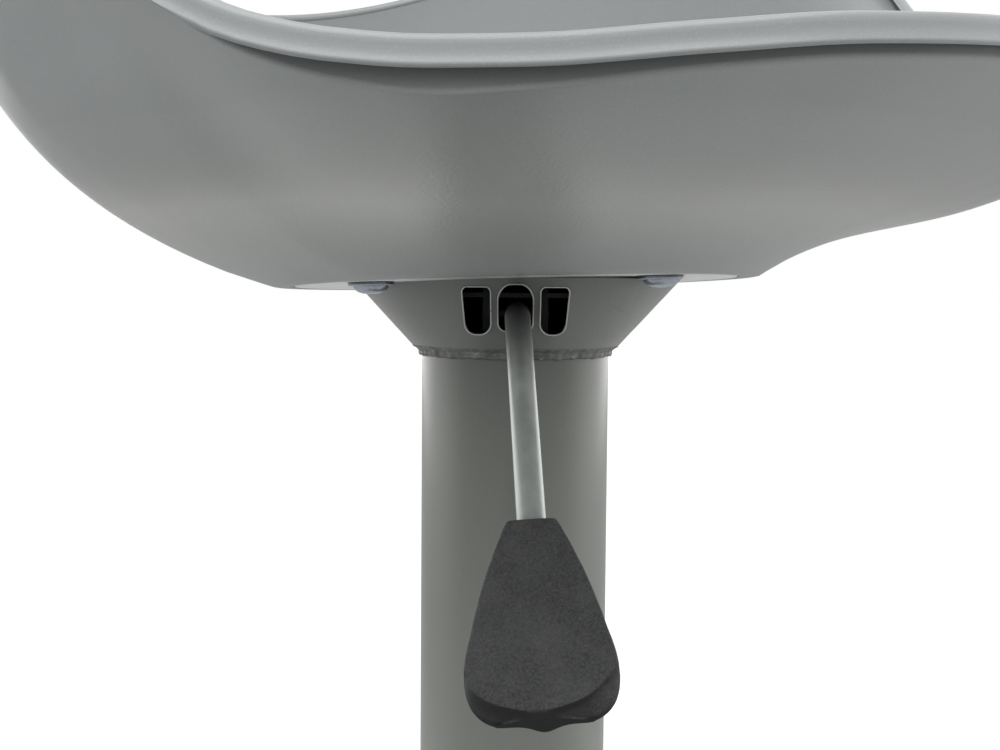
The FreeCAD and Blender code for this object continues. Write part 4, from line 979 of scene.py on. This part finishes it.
def build_floor():
    """Grey floor with a glow that only the camera sees."""
    mesh = bpy.data.meshes.new("studio_floor")
    corners = [(-1, -1), (1, -1), (1, 1), (-1, 1)]
    mesh.from_pydata([(x * FLOOR_HALF, y * FLOOR_HALF, FLOOR_Z) for x, y in corners], [],
                     [(0, 1, 2, 3)])
    floor = bpy.data.objects.new("studio_floor", mesh)
    scene.collection.objects.link(floor)
    mat = Surface("studio_floor")
    mat.set(color=(0.38, 0.38, 0.38), rough=0.9, spec=0.0)
    seen = mat.add("ShaderNodeLightPath").outputs["Is Camera Ray"]
    dark = mat.add("ShaderNodeEmission", {1: 0.0}).outputs[0]
    glow = mat.add("ShaderNodeEmission", {1: FLOOR_GLOW}).outputs[0]
    pick = mat.add("ShaderNodeMixShader", {0: seen, 1: dark, 2: glow}).outputs[0]
    both = mat.add("ShaderNodeAddShader", {0: mat.shader.outputs[0], 1: pick})
    mat.put(mat.output.inputs[0], both.outputs[0])
    mesh.materials.append(mat.material)


def build_world():
    """Bright behind and above the stool, dim on the camera's side; the camera sees white."""
    world = bpy.data.worlds.new("studio")
    scene.world = world
    sky = NodeTree(world)
    direction = sky.add("ShaderNodeTexCoord").outputs["Generated"]
    facing = sky.add("ShaderNodeVectorMath", {0: direction, 1: TO_CAMERA},
                     operation="DOT_PRODUCT").outputs["Value"]
    # -1..1 becomes 0..1
    around_share = sky.math("MULTIPLY_ADD", facing, 0.5, 0.5)
    up_share = sky.math("MULTIPLY_ADD", sky.split(direction)["Z"], 0.5, 0.5)
    color = sky.mix(sky.ramp(up_share, WORLD_UP), sky.ramp(around_share, WORLD_AROUND),
                    WORLD_TOP)
    light = sky.add("ShaderNodeBackground", {0: color, 1: WORLD_GAIN}).outputs[0]
    white = sky.add("ShaderNodeBackground", {0: (1, 1, 1), 1: 1.0}).outputs[0]
    seen = sky.add("ShaderNodeLightPath").outputs["Is Camera Ray"]
    choose = sky.add("ShaderNodeMixShader", {0: seen, 1: light, 2: white}).outputs[0]
    sky.add("ShaderNodeOutputWorld", {0: choose})


def build_softbox(name, place, aim_z, width, height, power, glossy):
    light = bpy.data.lights.new(name, "AREA")
    light.shape, light.size, light.size_y = "RECTANGLE", width, height
    light.energy = power
    ob = bpy.data.objects.new(name, light)
    ob.location = place
    aim = Vector((0, 0, aim_z)) - Vector(place)
    ob.rotation_euler = aim.to_track_quat("-Z", "Y").to_euler()
    ob.visible_camera = False
    scene.collection.objects.link(ob)
    ob.visible_glossy = glossy


build_floor()
scene.view_settings.view_transform = "Standard"
scene.view_settings.look = "None"
build_world()
for softbox in SOFTBOXES:
    build_softbox(*softbox)

# ------------------------------------------------------------------ camera
CAMERA_ANGLE = math.radians(-45.0)  # from -Y toward +X
CAMERA_DISTANCE, CAMERA_Z = 500.0, 562.4
SENSOR_WIDTH, LENS = 36.0, 55.8
YAW = math.radians(0.55445798)  # turned to its left, off the column's axis
PITCH = math.radians(3.6913860)  # tipped down
ROLL = math.radians(0.45)


def build_camera():
    data = bpy.data.cameras.new("camera")
    data.sensor_width = SENSOR_WIDTH
    data.lens = LENS
    data.clip_start = 0.01
    camera = bpy.data.objects.new("camera", data)
    scene.collection.objects.link(camera)
    scene.camera = camera
    look = Vector((-math.sin(CAMERA_ANGLE), math.cos(CAMERA_ANGLE), 0))
    look = Matrix.Rotation(YAW, 3, "Z") @ look
    right = look.cross(Vector((0, 0, 1))).normalized()
    look = Quaternion(right, -PITCH) @ look
    up = right.cross(look)
    spin = Quaternion(look, -ROLL)
    turn = Matrix((spin @ right, spin @ up, -look)).transposed()
    place = around(CAMERA_DISTANCE, CAMERA_ANGLE, CAMERA_Z)
    camera.matrix_world = Matrix.Translation(place) @ turn.to_4x4()


build_camera()

bpy.context.view_layer.update()
